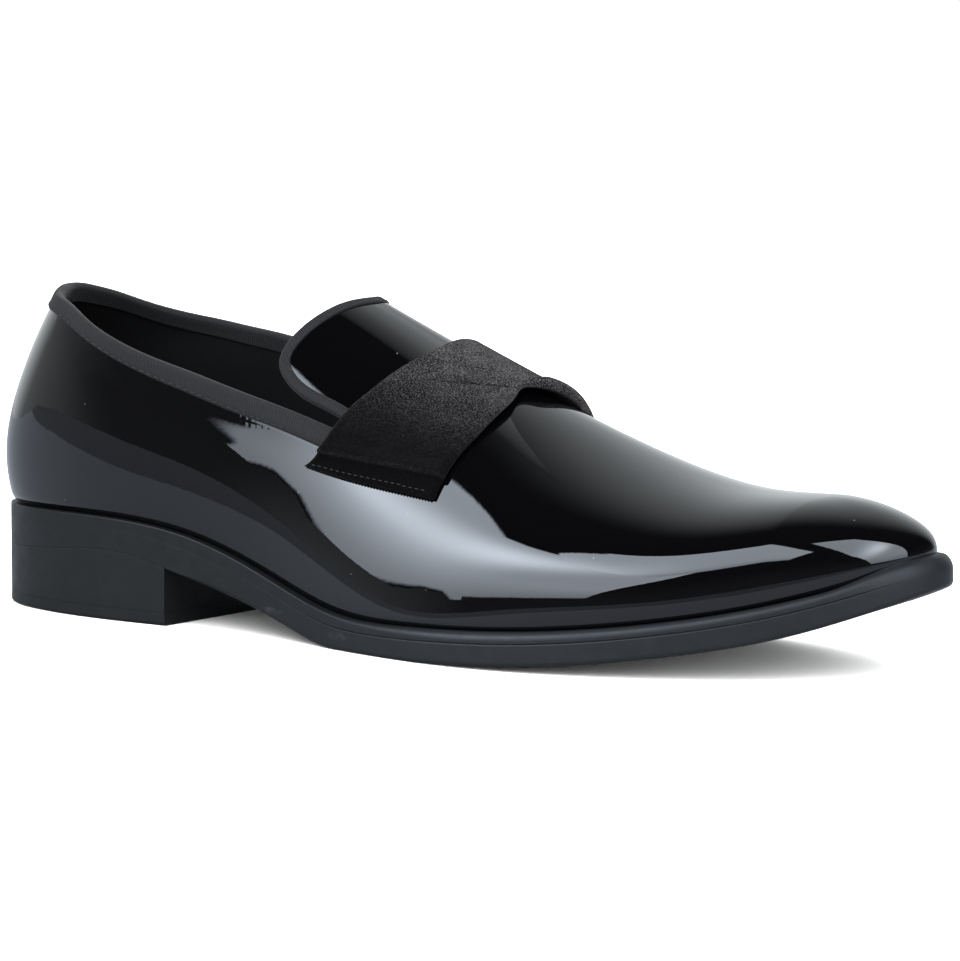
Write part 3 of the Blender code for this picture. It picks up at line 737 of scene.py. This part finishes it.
def shell_mesh(name, sheet, outer, inner):
    """Closed wall between two depths below a sheet, mm, keeping the sheet's own float layers."""
    sheet.normal_update()
    sheet.verts.index_update()
    points = np.array([v.co for v in sheet.verts])
    normals = np.array([v.normal for v in sheet.verts])
    count = len(points)
    faces = [[v.index for v in face.verts] for face in sheet.faces]
    inside = [[i + count for i in reversed(face)] for face in faces]
    rim = []
    for edge in sheet.edges:
        if edge.is_boundary:
            loop = edge.link_loops[0]
            a, b = loop.vert.index, loop.link_loop_next.vert.index
            rim.append([b, a, a + count, b + count])
    mesh = bpy.data.meshes.new(name)
    both = np.concatenate([points - normals * outer * MM, points - normals * inner * MM])
    mesh.from_pydata(both.tolist(), [], faces + inside + rim)
    for layer in sheet.verts.layers.float.values():
        values = [v[layer] for v in sheet.verts]
        mesh.attributes.new(layer.name, "FLOAT", "POINT").data.foreach_set("value", values * 2)
    return mesh


def make_upper():
    sheet = upper_sheet()
    add_piece(shell_mesh("upper_patent", sheet, 0.0, LEATHER), PATENT, "patent", "upper")
    add_piece(shell_mesh("upper_lining", sheet, LINING_TOP, LINING_END), LINING, "lining")
    sheet.free()


# Bindings and stitches

def fold_loop(thick):
    """Section of a ribbon folded over an edge: share of the leg below the edge, height above the edge, offset
    out of the outer face, and how much the cross ribs raise it."""
    inner = -LINING_END - thick
    middle, half = (thick + inner) / 2, (thick - inner) / 2
    loop = [(1.0, 0.0, SEAT, 0), (1.0, 0.0, 0.6 * thick, 1), (0.93, 0.0, thick, 1)]
    loop += [(share, 0.0, thick, 1) for share in (0.7, 0.45, 0.2, 0.0)]
    for angle in np.radians([25, 50, 75, 105, 130, 155]):
        loop.append((0.0, 0.85 * math.sin(angle), middle + half * math.cos(angle), 1))
    loop += [(share, 0.0, inner, 1) for share in (0.0, 0.35, 0.7, 0.95)]
    loop += [(1.0, 0.0, -LINING_END - SEAT, 0), (0.0, 0.1, -LINING_END - SEAT, 0), (0.0, 0.1, SEAT, 0)]
    return loop


def ribbon_mesh(name, place, length, thick):
    """Folded ribbon: place gives its points at stations, from a share below, a height above and an offset."""
    count = int(length / RIB_PITCH) * RIB_SAMPLES
    phase = 2 * np.pi * np.arange(count + 1) / RIB_SAMPLES
    lift = 0.5 + 0.5 * np.cos(phase)
    station = np.linspace(0.0, 1.0, count + 1)
    loop = fold_loop(thick)
    lines = []
    for below, above, out, ribbed in loop:
        middle = -LINING_END / 2
        grown = out + np.sign(out - middle) * RIB_DEPTH * (lift - 1) * ribbed
        lines.append(place(station, below, above, grown))
    points = np.stack(lines, axis=1)
    rows, columns = points.shape[:2]
    faces = grid_faces(rows, columns, wrap=True)
    faces.append(list(range(columns)))
    faces.append([(rows - 1) * columns + k for k in range(columns)])
    # painted highlight on the rib crowns, weaker on the faces inside the shoe: painted shade there
    highlight_share = np.array([1.0 if out > -LINING_END / 2 else 0.25 for _, _, out, _ in loop])
    crown_highlights = (lift[:, None] * highlight_share[None]).ravel()
    return solid_mesh(name, points.reshape(-1, 3), faces, {"crown": crown_highlights})


def collar_place():
    """Place function of the collar's binding, and its length."""
    count = 600
    line_u, line_angle = quarter_edge(count)
    run = run_length(skin(line_u, line_angle))
    unrolled = np.where(np.arange(len(line_u)) <= count, line_u, line_u - ROUND)
    start, end = 0.02, 0.98

    def place(station, below, above, out):
        where = (start + (end - start) * station) * run[-1]
        u = np.mod(np.interp(where, run, unrolled), ROUND)
        edge = np.interp(where, run, line_angle)
        small_u, small_angle = 0.01, 0.004
        leg = collar_leg(outline(u)[:, 0])
        by_angle = (skin(u, edge + small_angle) - skin(u, edge - small_angle)) / (2 * small_angle)
        pace = np.linalg.norm(by_angle, axis=-1)
        angle = edge - below * leg / pace
        by_u = skin(u + small_u, angle) - skin(u - small_u, angle)
        slope = skin(u, angle + small_angle) - skin(u, angle - small_angle)
        normal = unit(np.cross(by_u, slope))
        return skin(u, angle) + unit(by_angle) * above + normal * np.reshape(out, (-1, 1))

    return place, run[-1] * (end - start)


def tongue_place():
    """Place function of the tongue's binding, and its length."""
    _, line_x, line_turn = tongue_lines(400)
    run = run_length(over(line_x, line_turn))
    start, end = 0.012, 0.988

    def place(station, below, above, out):
        where = (start + (end - start) * station) * run[-1]
        x = np.interp(where, run, line_x)
        turn = np.interp(where, run, line_turn)
        point, normal, by_x, by_turn = over_frame(x, turn)
        tangent = unit(np.gradient(point, axis=0))
        inward = np.cross(tangent, normal)
        inward *= np.sign(np.sum(inward * by_x))
        slopes = np.stack([by_x, by_turn], axis=2)
        wanted = (inward * below * TONGUE_LEG)[..., None]
        turned = np.swapaxes(slopes, 1, 2)
        moves = np.linalg.solve(turned @ slopes, turned @ wanted)[..., 0]
        moved, moved_normal, _, _ = over_frame(x + moves[:, 0], turn + moves[:, 1])
        return moved - inward * above + moved_normal * np.reshape(out, (-1, 1))

    return place, run[-1] * (end - start)


def stitch_mesh(name, path, normal, thread):
    """Row of arched stitches along a path, each a short closed tube."""
    run = run_length(path)
    first = np.arange(0.0, run[-1] - thread.stitch, thread.pitch)
    rings, sides = 7, 6
    t = np.linspace(0.0, 1.0, rings)
    where = first[:, None] + thread.stitch * t[None]
    point = np.stack([np.interp(where, run, path[:, k]) for k in range(3)], axis=-1)
    up = unit(np.stack([np.interp(where, run, normal[:, k]) for k in range(3)], axis=-1))
    arch = np.sin(np.pi * t)
    point = point + up * (thread.rise * arch ** 0.6)[None, :, None]
    side = unit(np.cross(np.gradient(point, axis=1), up))
    thick = thread.radius * (0.35 + 0.65 * arch ** 0.5)
    angle = 2 * np.pi * np.arange(sides) / sides
    round_up = up[:, :, None] * np.cos(angle)[None, None, :, None]
    round_side = side[:, :, None] * np.sin(angle)[None, None, :, None]
    points = point[:, :, None] + (round_up + round_side) * thick[None, :, None, None]
    faces = []
    for k in range(len(first)):
        start = k * rings * sides
        faces += grid_faces(rings, sides, wrap=True, start=start)
        faces.append([start + i for i in range(sides)])
        faces.append([start + (rings - 1) * sides + i for i in range(sides)])
    return solid_mesh(name, points.reshape(-1, 3), faces)


def make_bindings():
    for name, (place, length), thick, seam, thread in (
        ("collar", collar_place(), RIBBON, 0.86, COLLAR_THREAD),
        ("tongue", tongue_place(), TONGUE_RIBBON, 0.84, TONGUE_THREAD),
    ):
        mesh = ribbon_mesh(name + "_ribbon", place, length, thick)
        add_piece(mesh, RIBBED, "ribbon", name + "_binding", 60.0)
        station = np.linspace(0.0, 1.0, 900)
        path = place(station, seam, 0.0, thick - 0.10)
        up = unit(place(station, seam, 0.0, thick + 1.0) - path)
        add_piece(stitch_mesh(name + "_stitches", path, up, thread), BLACK_THREAD, "ribbon")


# Velvet strap

strap_step = np.linspace(0.0, 1.0, len(STRAP))
strap_column = {name: spline(strap_step, [getattr(row, name) for row in STRAP]) for name in Strap._fields}


def strap_line(row, share, column):
    back = strap_column[column + "_back"](row)
    front = strap_column[column + "_front"](row)
    return back * (1 - share) + front * share


def strap_frame(row, share):
    """Point of the vamp below the strap, its normal, and the strap's clear height there."""
    turn = np.radians(strap_line(row, share, "turn"))
    point, normal, _, _ = over_frame(strap_line(row, share, "at"), turn)
    return point, normal, strap_line(row, share, "lift")


def strap_pile(row, share, to_end):
    """Thickness of the velvet: round at its edges, flat in the sewn hem, rolled above it."""
    edge = np.clip(np.minimum(share, 1 - share) / STRAP_ROUND, 0.0, 1.0)
    rounded = 0.30 + 0.70 * np.sqrt(1 - (1 - edge) ** 2)
    hem = HEM_THICK + (1 - HEM_THICK) * smooth(HEM - 0.35, HEM + 0.30, to_end)
    hem = hem * (0.45 + 0.55 * np.sqrt(1 - (1 - np.clip(to_end / 0.8, 0.0, 1.0)) ** 2))
    roll = HEM_ROLL * smooth(HEM - 0.35, HEM + 0.5, to_end) * (1 - smooth(HEM + 0.8, HEM + 4.5, to_end))
    far = smooth(0.52, 0.60, row) * (1 - smooth(0.86, 0.93, row))
    far_roll = FAR_ROLL * far * smooth(0.86, 0.94, share)
    return rounded * (hem + roll + far_roll)


dart_row = spline([place.share for place in DART], [place.row for place in DART])


def dart(row, share):
    """Groove of the dart across the strap."""
    away = (row - dart_row(share)) * STRAP_RUN
    ends = smooth(DART[0].share - 0.03, DART[0].share + 0.10, share)
    return DART_DEPTH * np.exp(-(away / DART_WIDTH) ** 2) * ends


def strap_painted_light(row, share, to_end):
    """Painted light and shade on the velvet: painted shade in the dart's groove and toward the outer side,
    full painted light on top, darker in the hem, with a painted highlight along the hem's fold.
    """
    # painted light rising toward the top of the strap, a painted highlight on the hem's fold, painted shade
    # in the dart's groove
    top = 0.04 + 0.96 * smooth(0.10, 0.50, row)
    fold = 0.16 * np.exp(-((to_end - HEM - 0.3) / 0.35) ** 2)
    dark = np.minimum(2.0 * dart(row, share), 0.85)
    return (top * (0.15 + 0.85 * smooth(HEM - 0.3, HEM + 0.8, to_end)) + fold) * (1 - dark)


def make_teeth(name, end):
    """Teeth cut along an end of the strap, each a small wedge that points outward."""
    edges = np.linspace(0.02, 0.98, TEETH + 1)
    gap = 0.02 * (edges[1] - edges[0])
    inner = 0.99 * end + 0.01 * (1 - end)
    low, high = [], []
    for share, reach in (
        (edges[:-1] + gap, -TOOTH_ROOT),
        ((edges[:-1] + edges[1:]) / 2, TOOTH),
        (edges[1:] - gap, -TOOTH_ROOT),
    ):
        point, normal, lift = strap_frame(np.full(TEETH, end), share)
        corner = point + reach * unit(point - strap_frame(np.full(TEETH, inner), share)[0])
        low.append(corner + normal * 0.25 * lift[:, None])
        high.append(corner + normal * (lift + 0.12 * VELVET)[:, None])
    points = np.stack(low + high, axis=1).reshape(-1, 3)
    wedge = [(0, 1, 2), (3, 4, 5), (0, 1, 4, 3), (1, 2, 5, 4), (2, 0, 3, 5)]
    faces = [[6 * k + corner for corner in face] for k in range(TEETH) for face in wedge]
    # the teeth's painted light is nought, so they take the velvet's darkest colour: painted shade
    add_piece(solid_mesh(name, points, faces, {"painted_light": np.zeros(len(points))}), PILE, "velvet")


def make_strap():
    row = np.linspace(0.0, 1.0, STRAP_ROWS + 1)[:, None]
    ease = np.linspace(0.0, np.pi, STRAP_COLUMNS + 1)[None]
    share = 0.5 * (1 - np.cos(ease)) * 0.5 + ease / np.pi * 0.5
    row, share = np.broadcast_arrays(row, share)
    point, normal, lift = strap_frame(row, share)
    run = run_length(point)
    to_end = np.minimum(run, run[-1:] - run)
    height = lift + VELVET * strap_pile(row, share, to_end) - dart(row, share)
    top = point + normal * height[..., None]
    under = point + normal * (lift * np.clip(to_end / 2.0, 0.2, 1.0))[..., None]
    loops = np.concatenate([top, under[:, ::-1]], axis=1)
    rows, columns = loops.shape[:2]
    faces = grid_faces(rows, columns, wrap=True)
    for i in range(columns // 2 - 1):
        for start in (0, (rows - 1) * columns):
            faces.append([start + i, start + i + 1, start + columns - 2 - i, start + columns - 1 - i])
    top_painted_light = strap_painted_light(row, share, to_end)
    # painted shade on the strap's underside: a tenth of the painted light of its top
    painted_light = np.concatenate([top_painted_light, 0.1 * top_painted_light], axis=1)
    mesh = solid_mesh("strap_velvet", loops.reshape(-1, 3), faces, {"painted_light": painted_light.ravel()})
    add_piece(mesh, PILE, "velvet", "vamp_strap", 75.0)

    for name, end in (("outer", 0.0), ("inner", 1.0)):
        shares = np.linspace(0.04, 0.96, 200)
        steps = row[np.abs(row[:, 0] - end) < 0.12, 0]
        place, up, clear = strap_frame(*np.meshgrid(steps, shares, indexing="ij"))
        run = run_length(place if end == 0.0 else place[::-1])
        run = run if end == 0.0 else run[::-1]
        nearest = np.argmin(np.abs(run - HEM_SEAM), axis=0)
        pick = (nearest, np.arange(len(shares)))
        path = place[pick] + up[pick] * (clear[pick] + VELVET * HEM_THICK)[:, None]
        mesh = stitch_mesh("hem_stitches_" + name, path, up[pick], HEM_THREAD)
        add_piece(mesh, GREY_THREAD, "velvet")
        make_teeth("hem_teeth_" + name, end)

    shares = np.linspace(DART[0].share, DART[-1].share - 0.03, 120)
    place, up, clear = strap_frame(dart_row(shares), shares)
    path = place + up * (clear + VELVET - 0.42)[:, None]
    add_piece(stitch_mesh("dart_stitches", path, up, DART_THREAD), BLACK_THREAD, "velvet")


# Sole layers

# Row of a layer's side: the corner it rounds and how far round, or the plain side and its share
Side = namedtuple("Side", "corner angle")
CORNER = np.linspace(0.0, np.pi / 2, 7)
SIDE_ROWS = (
    [Side("low", angle) for angle in CORNER]
    + [Side("side", share) for share in (0.08, 0.36, 0.64, 0.92)]
    + [Side("high", angle) for angle in CORNER[::-1]]
)


def edge_ring(tuck):
    """Outer and inner half of the sole edge drawn in by tuck, each from heel to toe."""
    slope = np.roll(fine_edge, -1, axis=0) - np.roll(fine_edge, 1, axis=0)
    inward = unit(np.stack([-slope[:, 1], slope[:, 0]], axis=1))
    drawn = fine_edge + inward * np.reshape(tuck(fine_edge[:, 0]), (-1, 1))
    first = int(np.argmin(drawn[:, 0]))
    drawn = np.roll(drawn, -first, axis=0)
    tip = int(np.argmax(drawn[:, 0]))
    return drawn[:tip + 1], np.concatenate([drawn[tip:], drawn[:1]])[::-1]


def even(size):
    """The same size all along the foot."""
    return lambda x: np.full_like(x, size)


none = even(0.0)


def slab_mesh(name, low_round, high_round, tuck, bottom, top, end=None):
    """Sole layer, its lower and upper edge rounded by radii along x; end cuts it off straight at that x."""
    half_turn = np.linspace(0.0, np.pi, SOLE_STATIONS + 1)
    spacing = (1 - np.cos(half_turn)) / 2
    if end is not None:
        half_turn = np.linspace(0.0, np.pi / 2, SOLE_STATIONS // 2 + 1)
        spacing = 1 - np.cos(half_turn)
    rings = []
    for row in SIDE_ROWS:
        radius = {"low": low_round, "side": none, "high": high_round}[row.corner]
        outer, inner = edge_ring(lambda x: tuck(x) + radius(x) * (1 - math.sin(row.angle)))
        start, finish = outer[0, 0], outer[-1, 0] if end is None else end
        x = start + (finish - start) * spacing
        y_out = np.interp(x, outer[:, 0], outer[:, 1])
        y_in = np.interp(x, inner[:, 0], inner[:, 1])
        tail = slice(1, -1) if end is None else slice(1, None)
        lap_x = np.concatenate([x, x[tail][::-1]])
        lap_y = np.concatenate([y_out, y_in[tail][::-1]])
        low, high = bottom(lap_x, lap_y), top(lap_x, lap_y)
        rise = radius(lap_x) * (1 - math.cos(row.angle))
        between = low + low_round(lap_x) + (high - high_round(lap_x) - low - low_round(lap_x)) * row.angle
        lap_z = {"low": low + rise, "side": between, "high": high - rise}[row.corner]
        rings.append(np.stack([lap_x, lap_y, lap_z], axis=1))
    points = round_toe(np.stack(rings)) if tuck is none else np.stack(rings)
    rows, total = points.shape[:2]
    faces = grid_faces(rows, total, wrap=True)
    for lap in (0, (rows - 1) * total):
        for i in range(len(spacing) - 1):
            corners = [i, i + 1, (total - i - 1) % total, (total - i) % total]
            faces.append([lap + k for k in dict.fromkeys(corners)])
    return solid_mesh(name, points.reshape(-1, 3), faces)


def under_upper(x, y):
    return feather(x, y) - SEAT


def welt_height(x, y):
    return under_upper(x, y) + TOE_LIP * smooth(282.0, 300.0, x)


def round_toe(points):
    """Sole edge turned back in an even curve at the toe tip."""
    below = np.clip(welt_height(points[..., 0], points[..., 1]) - points[..., 2], 0.0, TOE_ROUND)
    back = TOE_ROUND - np.sqrt(TOE_ROUND ** 2 - (TOE_ROUND - below) ** 2)
    points[..., 0] -= back * smooth(278.0, 300.0, points[..., 0])
    return points


def over_insole(x, y):
    return feather(x, y) + INSOLE_THICK


def over_outsole(x, y):
    return under_upper(x, y) - MIDSOLE_SHARE * (under_upper(x, y) - base(x, y))


def over_heel(x, y):
    return base(x, y) - SEAT


def level(height):
    """The same height all over."""
    return lambda x, y: np.full_like(x, height)


def inside_wall(x):
    return margin(x) + LINING_END + 0.6


def groove(x):
    """Corner that makes the groove between the sole's layers, fading out in the waist and at the toe tip."""
    return SHARP + GROOVE * smooth(100.0, 150.0, x) * (1 - smooth(285.0, 299.0, x))


def welt_top(x):
    """Rounding of the welt's upper edge, wide in the forefoot."""
    wide = smooth(128.0, 190.0, x) * (1 - 0.75 * smooth(276.0, 298.0, x))
    return WELT_ROUND + WELT_FOREFOOT * wide


def sole_bottom(x):
    """Rounding of the outsole's lower edge, none where the heel stands below it."""
    return SHARP + SOLE_ROUND * smooth(78.0, 94.0, x)


def make_sole():
    layers = [
        ("insole_sock", even(0.2), even(0.8), inside_wall, feather, over_insole, LINING, "lining", "insole"),
        ("welt_edge", groove, welt_top, none, over_outsole, welt_height, SOLE, "sole", "midsole"),
        ("sole_edge", sole_bottom, groove, none, base, over_outsole, SOLE, "sole", "outsole"),
    ]
    for name, low, high, tuck, bottom, top, shade, slot, node in layers:
        add_piece(slab_mesh(name, low, high, tuck, bottom, top), shade, slot, node, 50.0)
    heel = [
        ("heel_stack", even(SHARP), even(SHARP), level(TOP_PIECE + SEAT), over_heel, "heel_block"),
        ("heel_lift", even(HEEL_ROUND), even(SHARP), level(0.0), level(TOP_PIECE), "heel_top_piece"),
    ]
    for name, low, high, bottom, top, node in heel:
        mesh = slab_mesh(name, low, high, none, bottom, top, HEEL_BREAST)
        add_piece(mesh, SOLE, "sole", node, 50.0)


make_upper()
make_bindings()
make_strap()
make_sole()


# Studio: a pale floor, a white surround for the camera, three soft boxes on its side and two broad lamps

def glow(name, colour, strength=None):
    """Material that gives light of one strength, or by its mesh's own level."""
    shade = bpy.data.materials.new(name)
    shade.use_nodes = True
    s = Nodes(shade.node_tree)
    s.tree.nodes.clear()
    power = s.attribute("level") if strength is None else strength
    emit = s.node("ShaderNodeEmission", {"Color": (*colour, 1.0), "Strength": power})
    s.node("ShaderNodeOutputMaterial", {"Surface": emit.outputs[0]})
    return shade


def stage_mesh(name, points, faces, shade):
    mesh = bpy.data.meshes.new(name)
    mesh.from_pydata([tuple(p) for p in points], [], faces)
    mesh.materials.append(shade)
    item = new_object(name, mesh)
    return item


FLOOR_REACH = 7.5       # metres
SURROUND = 7.6
# White table that the leather mirrors, and its front in half shade: from and to x, from and to y, metres
TABLE = (-1.6, 1.6, -0.163, 1.6)
TABLE_FRONT = (-1.6, 1.6, -0.29, -0.163)


def plane(x0, x1, y0, y1, z=0.0):
    return [(x0, y0, z), (x1, y0, z), (x1, y1, z), (x0, y1, z)]


def only(item, *kinds):
    """Let only these kinds of ray meet the item."""
    for kind in ("camera", "diffuse", "glossy", "transmission", "volume_scatter", "shadow"):
        setattr(item, "visible_" + kind, kind in kinds)


def make_floor():
    white = Shader("floor_white")
    white.set(Base_Color=(0.82, 0.82, 0.82, 1.0), Roughness=0.9, Specular_IOR_Level=0.1)
    r = FLOOR_REACH
    ground = stage_mesh("floor", plane(-r, r, -r, r), [(0, 1, 2, 3)], white.material)
    ground.visible_glossy = False
    for name, reach, colour in (
        ("table_top", TABLE, (0.19, 0.21, 0.24, 1.0)),
        ("table_front", TABLE_FRONT, (0.085, 0.094, 0.107, 1.0)),
    ):
        mirrored = Shader(name)
        mirrored.set(Base_Color=colour, Roughness=0.9, Specular_IOR_Level=0.1)
        only(stage_mesh(name, plane(*reach, 0.2 * MM), [(0, 1, 2, 3)], mirrored.material), "glossy")
    shade = glow("surround_white", (1.0, 1.0, 1.0), 1.05)
    steps_round, steps_up = 48, 16
    turn = np.linspace(0.0, 2 * np.pi, steps_round, endpoint=False)[None]
    height = np.linspace(-0.2, np.pi / 2 - 0.02, steps_up)[:, None]
    dome = np.stack(np.broadcast_arrays(
        np.cos(height) * np.cos(turn), np.cos(height) * np.sin(turn), np.sin(height)), axis=-1) * SURROUND
    faces = grid_faces(steps_up, steps_round, wrap=True)
    faces.append([(steps_up - 1) * steps_round + k for k in range(steps_round)])
    only(stage_mesh("surround", dome.reshape(-1, 3), faces, shade), "camera")


# Soft boxes that the leather mirrors. x, y, z: middle, mm of the shoe; turn and tilt: where it lies from the
# shoe, degrees; half_wide and half_high: mm; level: its light; hot: added along a hot line through (across,
# up), shares of the half sizes, which climbs by slope and fades over wide along it and thin across it; left,
# low and high: its edges, shares of the half sizes
Box = namedtuple(
    "Box", "name x y z turn tilt half_wide half_high level hot across up slope wide thin left low high")
BOXES = [
    Box("soft_box_left", -150, -762, 478, -131.0, 31.6, 495, 402,
        6.3, 10.0, -0.30, 0.22, 0.55, 0.75, 0.36, -1.16, -1.14, 1.2),
    Box("soft_box_high", 344, -642, 695, -77.8, 66.4, 382, 306,
        6.5, 7.5, -1.00, -0.40, 0.00, 0.35, 0.80, -1.0, -1.0, 1.0),
    Box("soft_box_right", 890, -337, 549, 1.4, 29.2, 236, 605,
        5.4, 8.0, 0.10, 0.12, 0.50, 0.90, 0.22, -1.0, -1.0, 1.0),
]
BOX_COLOUR = (0.89, 0.98, 1.10)
BOX_DIM = 0.4           # light lost toward a box's lower edge
BOX_STEPS = 120

# Covered parts of the boxes: from and to, shares across; a line through (across, up) that climbs by slope;
# which side of the line is covered, 1 above it and -1 below it
Cover = namedtuple("Cover", "box start end across up slope side")
COVERS = [
    Cover("soft_box_left", -9.0, -0.51, -0.51, 0.69, -1.35, 1),
    Cover("soft_box_left", -0.51, -0.10, -0.51, 0.69, 0.39, 1),
    Cover("soft_box_left", -0.10, 9.0, 0.00, 1.00, 0.00, 1),
    Cover("soft_box_left", -9.0, -0.79, -0.79, -0.95, 0.85, -1),
    Cover("soft_box_left", -0.79, -0.65, -0.79, -0.95, -0.10, -1),
    Cover("soft_box_left", -0.65, -0.455, -0.62, -1.01, -1.90, -1),
    Cover("soft_box_left", -0.455, 9.0, 0.00, -1.05, 0.00, -1),
    Cover("soft_box_high", -9.0, -0.70, -1.00, 0.60, 1.17, 1),
    Cover("soft_box_high", 0.00, 9.0, 0.62, 0.45, -1.20, 1),
    Cover("soft_box_right", -9.0, -0.20, -0.62, 0.45, 1.60, 1),
]


def board(item, across, up):
    """Points of an upright board that faces the shoe, at shares of its half sizes from its middle."""
    turn, tilt = math.radians(item.turn), math.radians(item.tilt)
    toward = np.array([math.cos(turn) * math.cos(tilt), math.sin(turn) * math.cos(tilt), math.sin(tilt)])
    right = np.array([-math.sin(turn), math.cos(turn), 0.0])
    points = np.array([item.x, item.y, item.z]) + item.half_wide * across[..., None] * right
    return to_frame(points + item.half_high * up[..., None] * np.cross(toward, right)).reshape(-1, 3)


def lit_board(name, item, across, up, level, colour):
    """A board that only the leather mirrors, lit by level at each point and left out where that is nought."""
    lit = level.ravel()
    faces = [face for face in grid_faces(*level.shape) if max(lit[k] for k in face) > 0.01]
    made = stage_mesh(name, board(item, across, up), faces, glow(name, colour))
    made.data.attributes.new("level", "FLOAT", "POINT").data.foreach_set("value", lit.tolist())
    only(made, "glossy")


def make_box(box):
    sides = np.linspace(box.left, 1, BOX_STEPS + 1)
    heights = np.linspace(box.low, box.high, BOX_STEPS + 1)
    across, up = np.meshgrid(sides, heights)
    above = (up - box.up - box.slope * (across - box.across)) / box.thin
    level = box.level + box.hot * np.exp(-above ** 2 - ((across - box.across) / box.wide) ** 2)
    level = level * (1 - BOX_DIM * smooth(0.45, 1.15, -up))
    for cover in COVERS:
        if cover.box == box.name:
            above = cover.side * (up - cover.up - cover.slope * (across - cover.across))
            within = (across >= cover.start) & (across < cover.end)
            level = level * np.where(within, 1 - smooth(-0.03, 0.03, above), 1.0)
    lit_board(box.name, box, across, up, level, BOX_COLOUR)


# What the leather mirrors of the room: a white backdrop behind, a pale wall past the heel, dim elsewhere
BACKDROP_TURN = 128.0   # azimuth of its middle, degrees
BACKDROP_LIGHT = 1.0
WALL_TURN = 184.0
WALL_LIGHT = 0.40
ROOM_LIGHT = (0.13, 0.03)   # at the horizon and above
ROOM_COLOUR = (0.94, 1.0, 1.03)

# Small cards near the shoe, placed like a box: one between the heel and the left box, one above the tongue.
# way: along which side its light changes; lights: shares along that side and the light there
Card = namedtuple("Card", "name x y z turn tilt half_wide half_high way lights")
CARDS = [
    Card("heel_card", -58, -138, 90, -135.0, 0.0, 40, 26, "across", [(-1.0, 0.42), (0.0, 0.25), (1.0, 0.12)]),
    Card("tongue_card", 117, 43, 155, 108.0, 57.0, 36, 42, "up",
         [(-1.0, 1.0), (-0.6, 1.4), (0.1, 1.15), (0.47, 0.70), (0.81, 0.40), (1.0, 0.14)]),
]


def make_card(card):
    across, up = np.meshgrid(np.linspace(-1, 1, 25), np.linspace(-1, 1, 25))
    shares, lights = zip(*card.lights)
    level = np.interp(across if card.way == "across" else up, shares, lights)
    lit_board(card.name, card, across, up, level, ROOM_COLOUR)


def make_world():
    world = bpy.data.worlds.new("studio")
    world.use_nodes = True
    bpy.context.scene.world = world
    s = Nodes(world.node_tree)
    where = s.node("ShaderNodeTexCoord").outputs["Generated"]
    height = s.node("ShaderNodeSeparateXYZ", {0: where}).outputs["Z"]

    def toward(degrees):
        turn = math.radians(degrees)
        return s.vector("DOT_PRODUCT", where, (math.cos(turn), math.sin(turn), 0.0), "Value")

    leaning = s.math("ADD", s.math("MULTIPLY", height, 0.30), toward(BACKDROP_TURN))
    backdrop = s.ramp(height, 0.15, 1.50, BACKDROP_LIGHT, 0.0)
    backdrop = s.math("MULTIPLY", backdrop, s.ramp(leaning, 0.50, 0.90))
    wall = s.ramp(height, 0.1, 0.8, WALL_LIGHT, 0.0)
    wall = s.math("MULTIPLY", wall, s.ramp(toward(WALL_TURN), 0.66, 1.0))
    light = s.math("ADD", s.math("MAXIMUM", backdrop, wall), s.ramp(height, -0.10, 0.40, *ROOM_LIGHT))
    shine = s.tree.nodes["Background"]
    shine.inputs["Color"].default_value = (*ROOM_COLOUR, 1.0)
    s.tree.links.new(light, shine.inputs["Strength"])


# Broad lamps for the floor and the cloth: energy; spread, lean to the camera side and to the toe, degrees
Lamp = namedtuple("Lamp", "name energy spread lean side")
LAMPS = [
    Lamp("overhead", 10.6, 120.0, 6.0, 35.0),
    Lamp("front_fill", 5.2, 80.0, 58.0, 34.0),
]


def make_lamp(lamp):
    data = bpy.data.lights.new(lamp.name, "SUN")
    data.energy = lamp.energy
    data.angle = math.radians(lamp.spread)
    item = new_object(lamp.name, data)
    item.rotation_euler = (math.radians(lamp.lean), math.radians(lamp.side), 0.0)
    item.visible_glossy = False


def make_camera():
    turn, height = math.radians(CAMERA_TURN), math.radians(CAMERA_HEIGHT)
    back = np.array([
        math.sin(turn) * math.cos(height),
        -math.cos(turn) * math.cos(height),
        math.sin(height),
    ])
    right = np.array([math.cos(turn), math.sin(turn), 0.0])
    up = np.cross(back, right)
    data = bpy.data.cameras.new("camera")
    camera = new_object("camera", data)
    eye = to_frame(LOOK_AT + CAMERA_AWAY * back)
    columns = np.stack([right, up, back, eye], axis=1)
    camera.matrix_world = Matrix([*columns.tolist(), [0.0, 0.0, 0.0, 1.0]])
    long_side = max(IMAGE_SIZE)
    data.lens = FOCAL * data.sensor_width / long_side
    data.shift_x = (IMAGE_SIZE[0] / 2 - PRINCIPAL[0]) / long_side
    data.shift_y = (PRINCIPAL[1] - IMAGE_SIZE[1] / 2) / long_side
    data.clip_end = 30.0
    bpy.context.scene.camera = camera


make_floor()
for box in BOXES:
    make_box(box)
for card in CARDS:
    make_card(card)
make_world()
for lamp in LAMPS:
    make_lamp(lamp)
make_camera()
bpy.context.scene.view_settings.view_transform = "Standard"
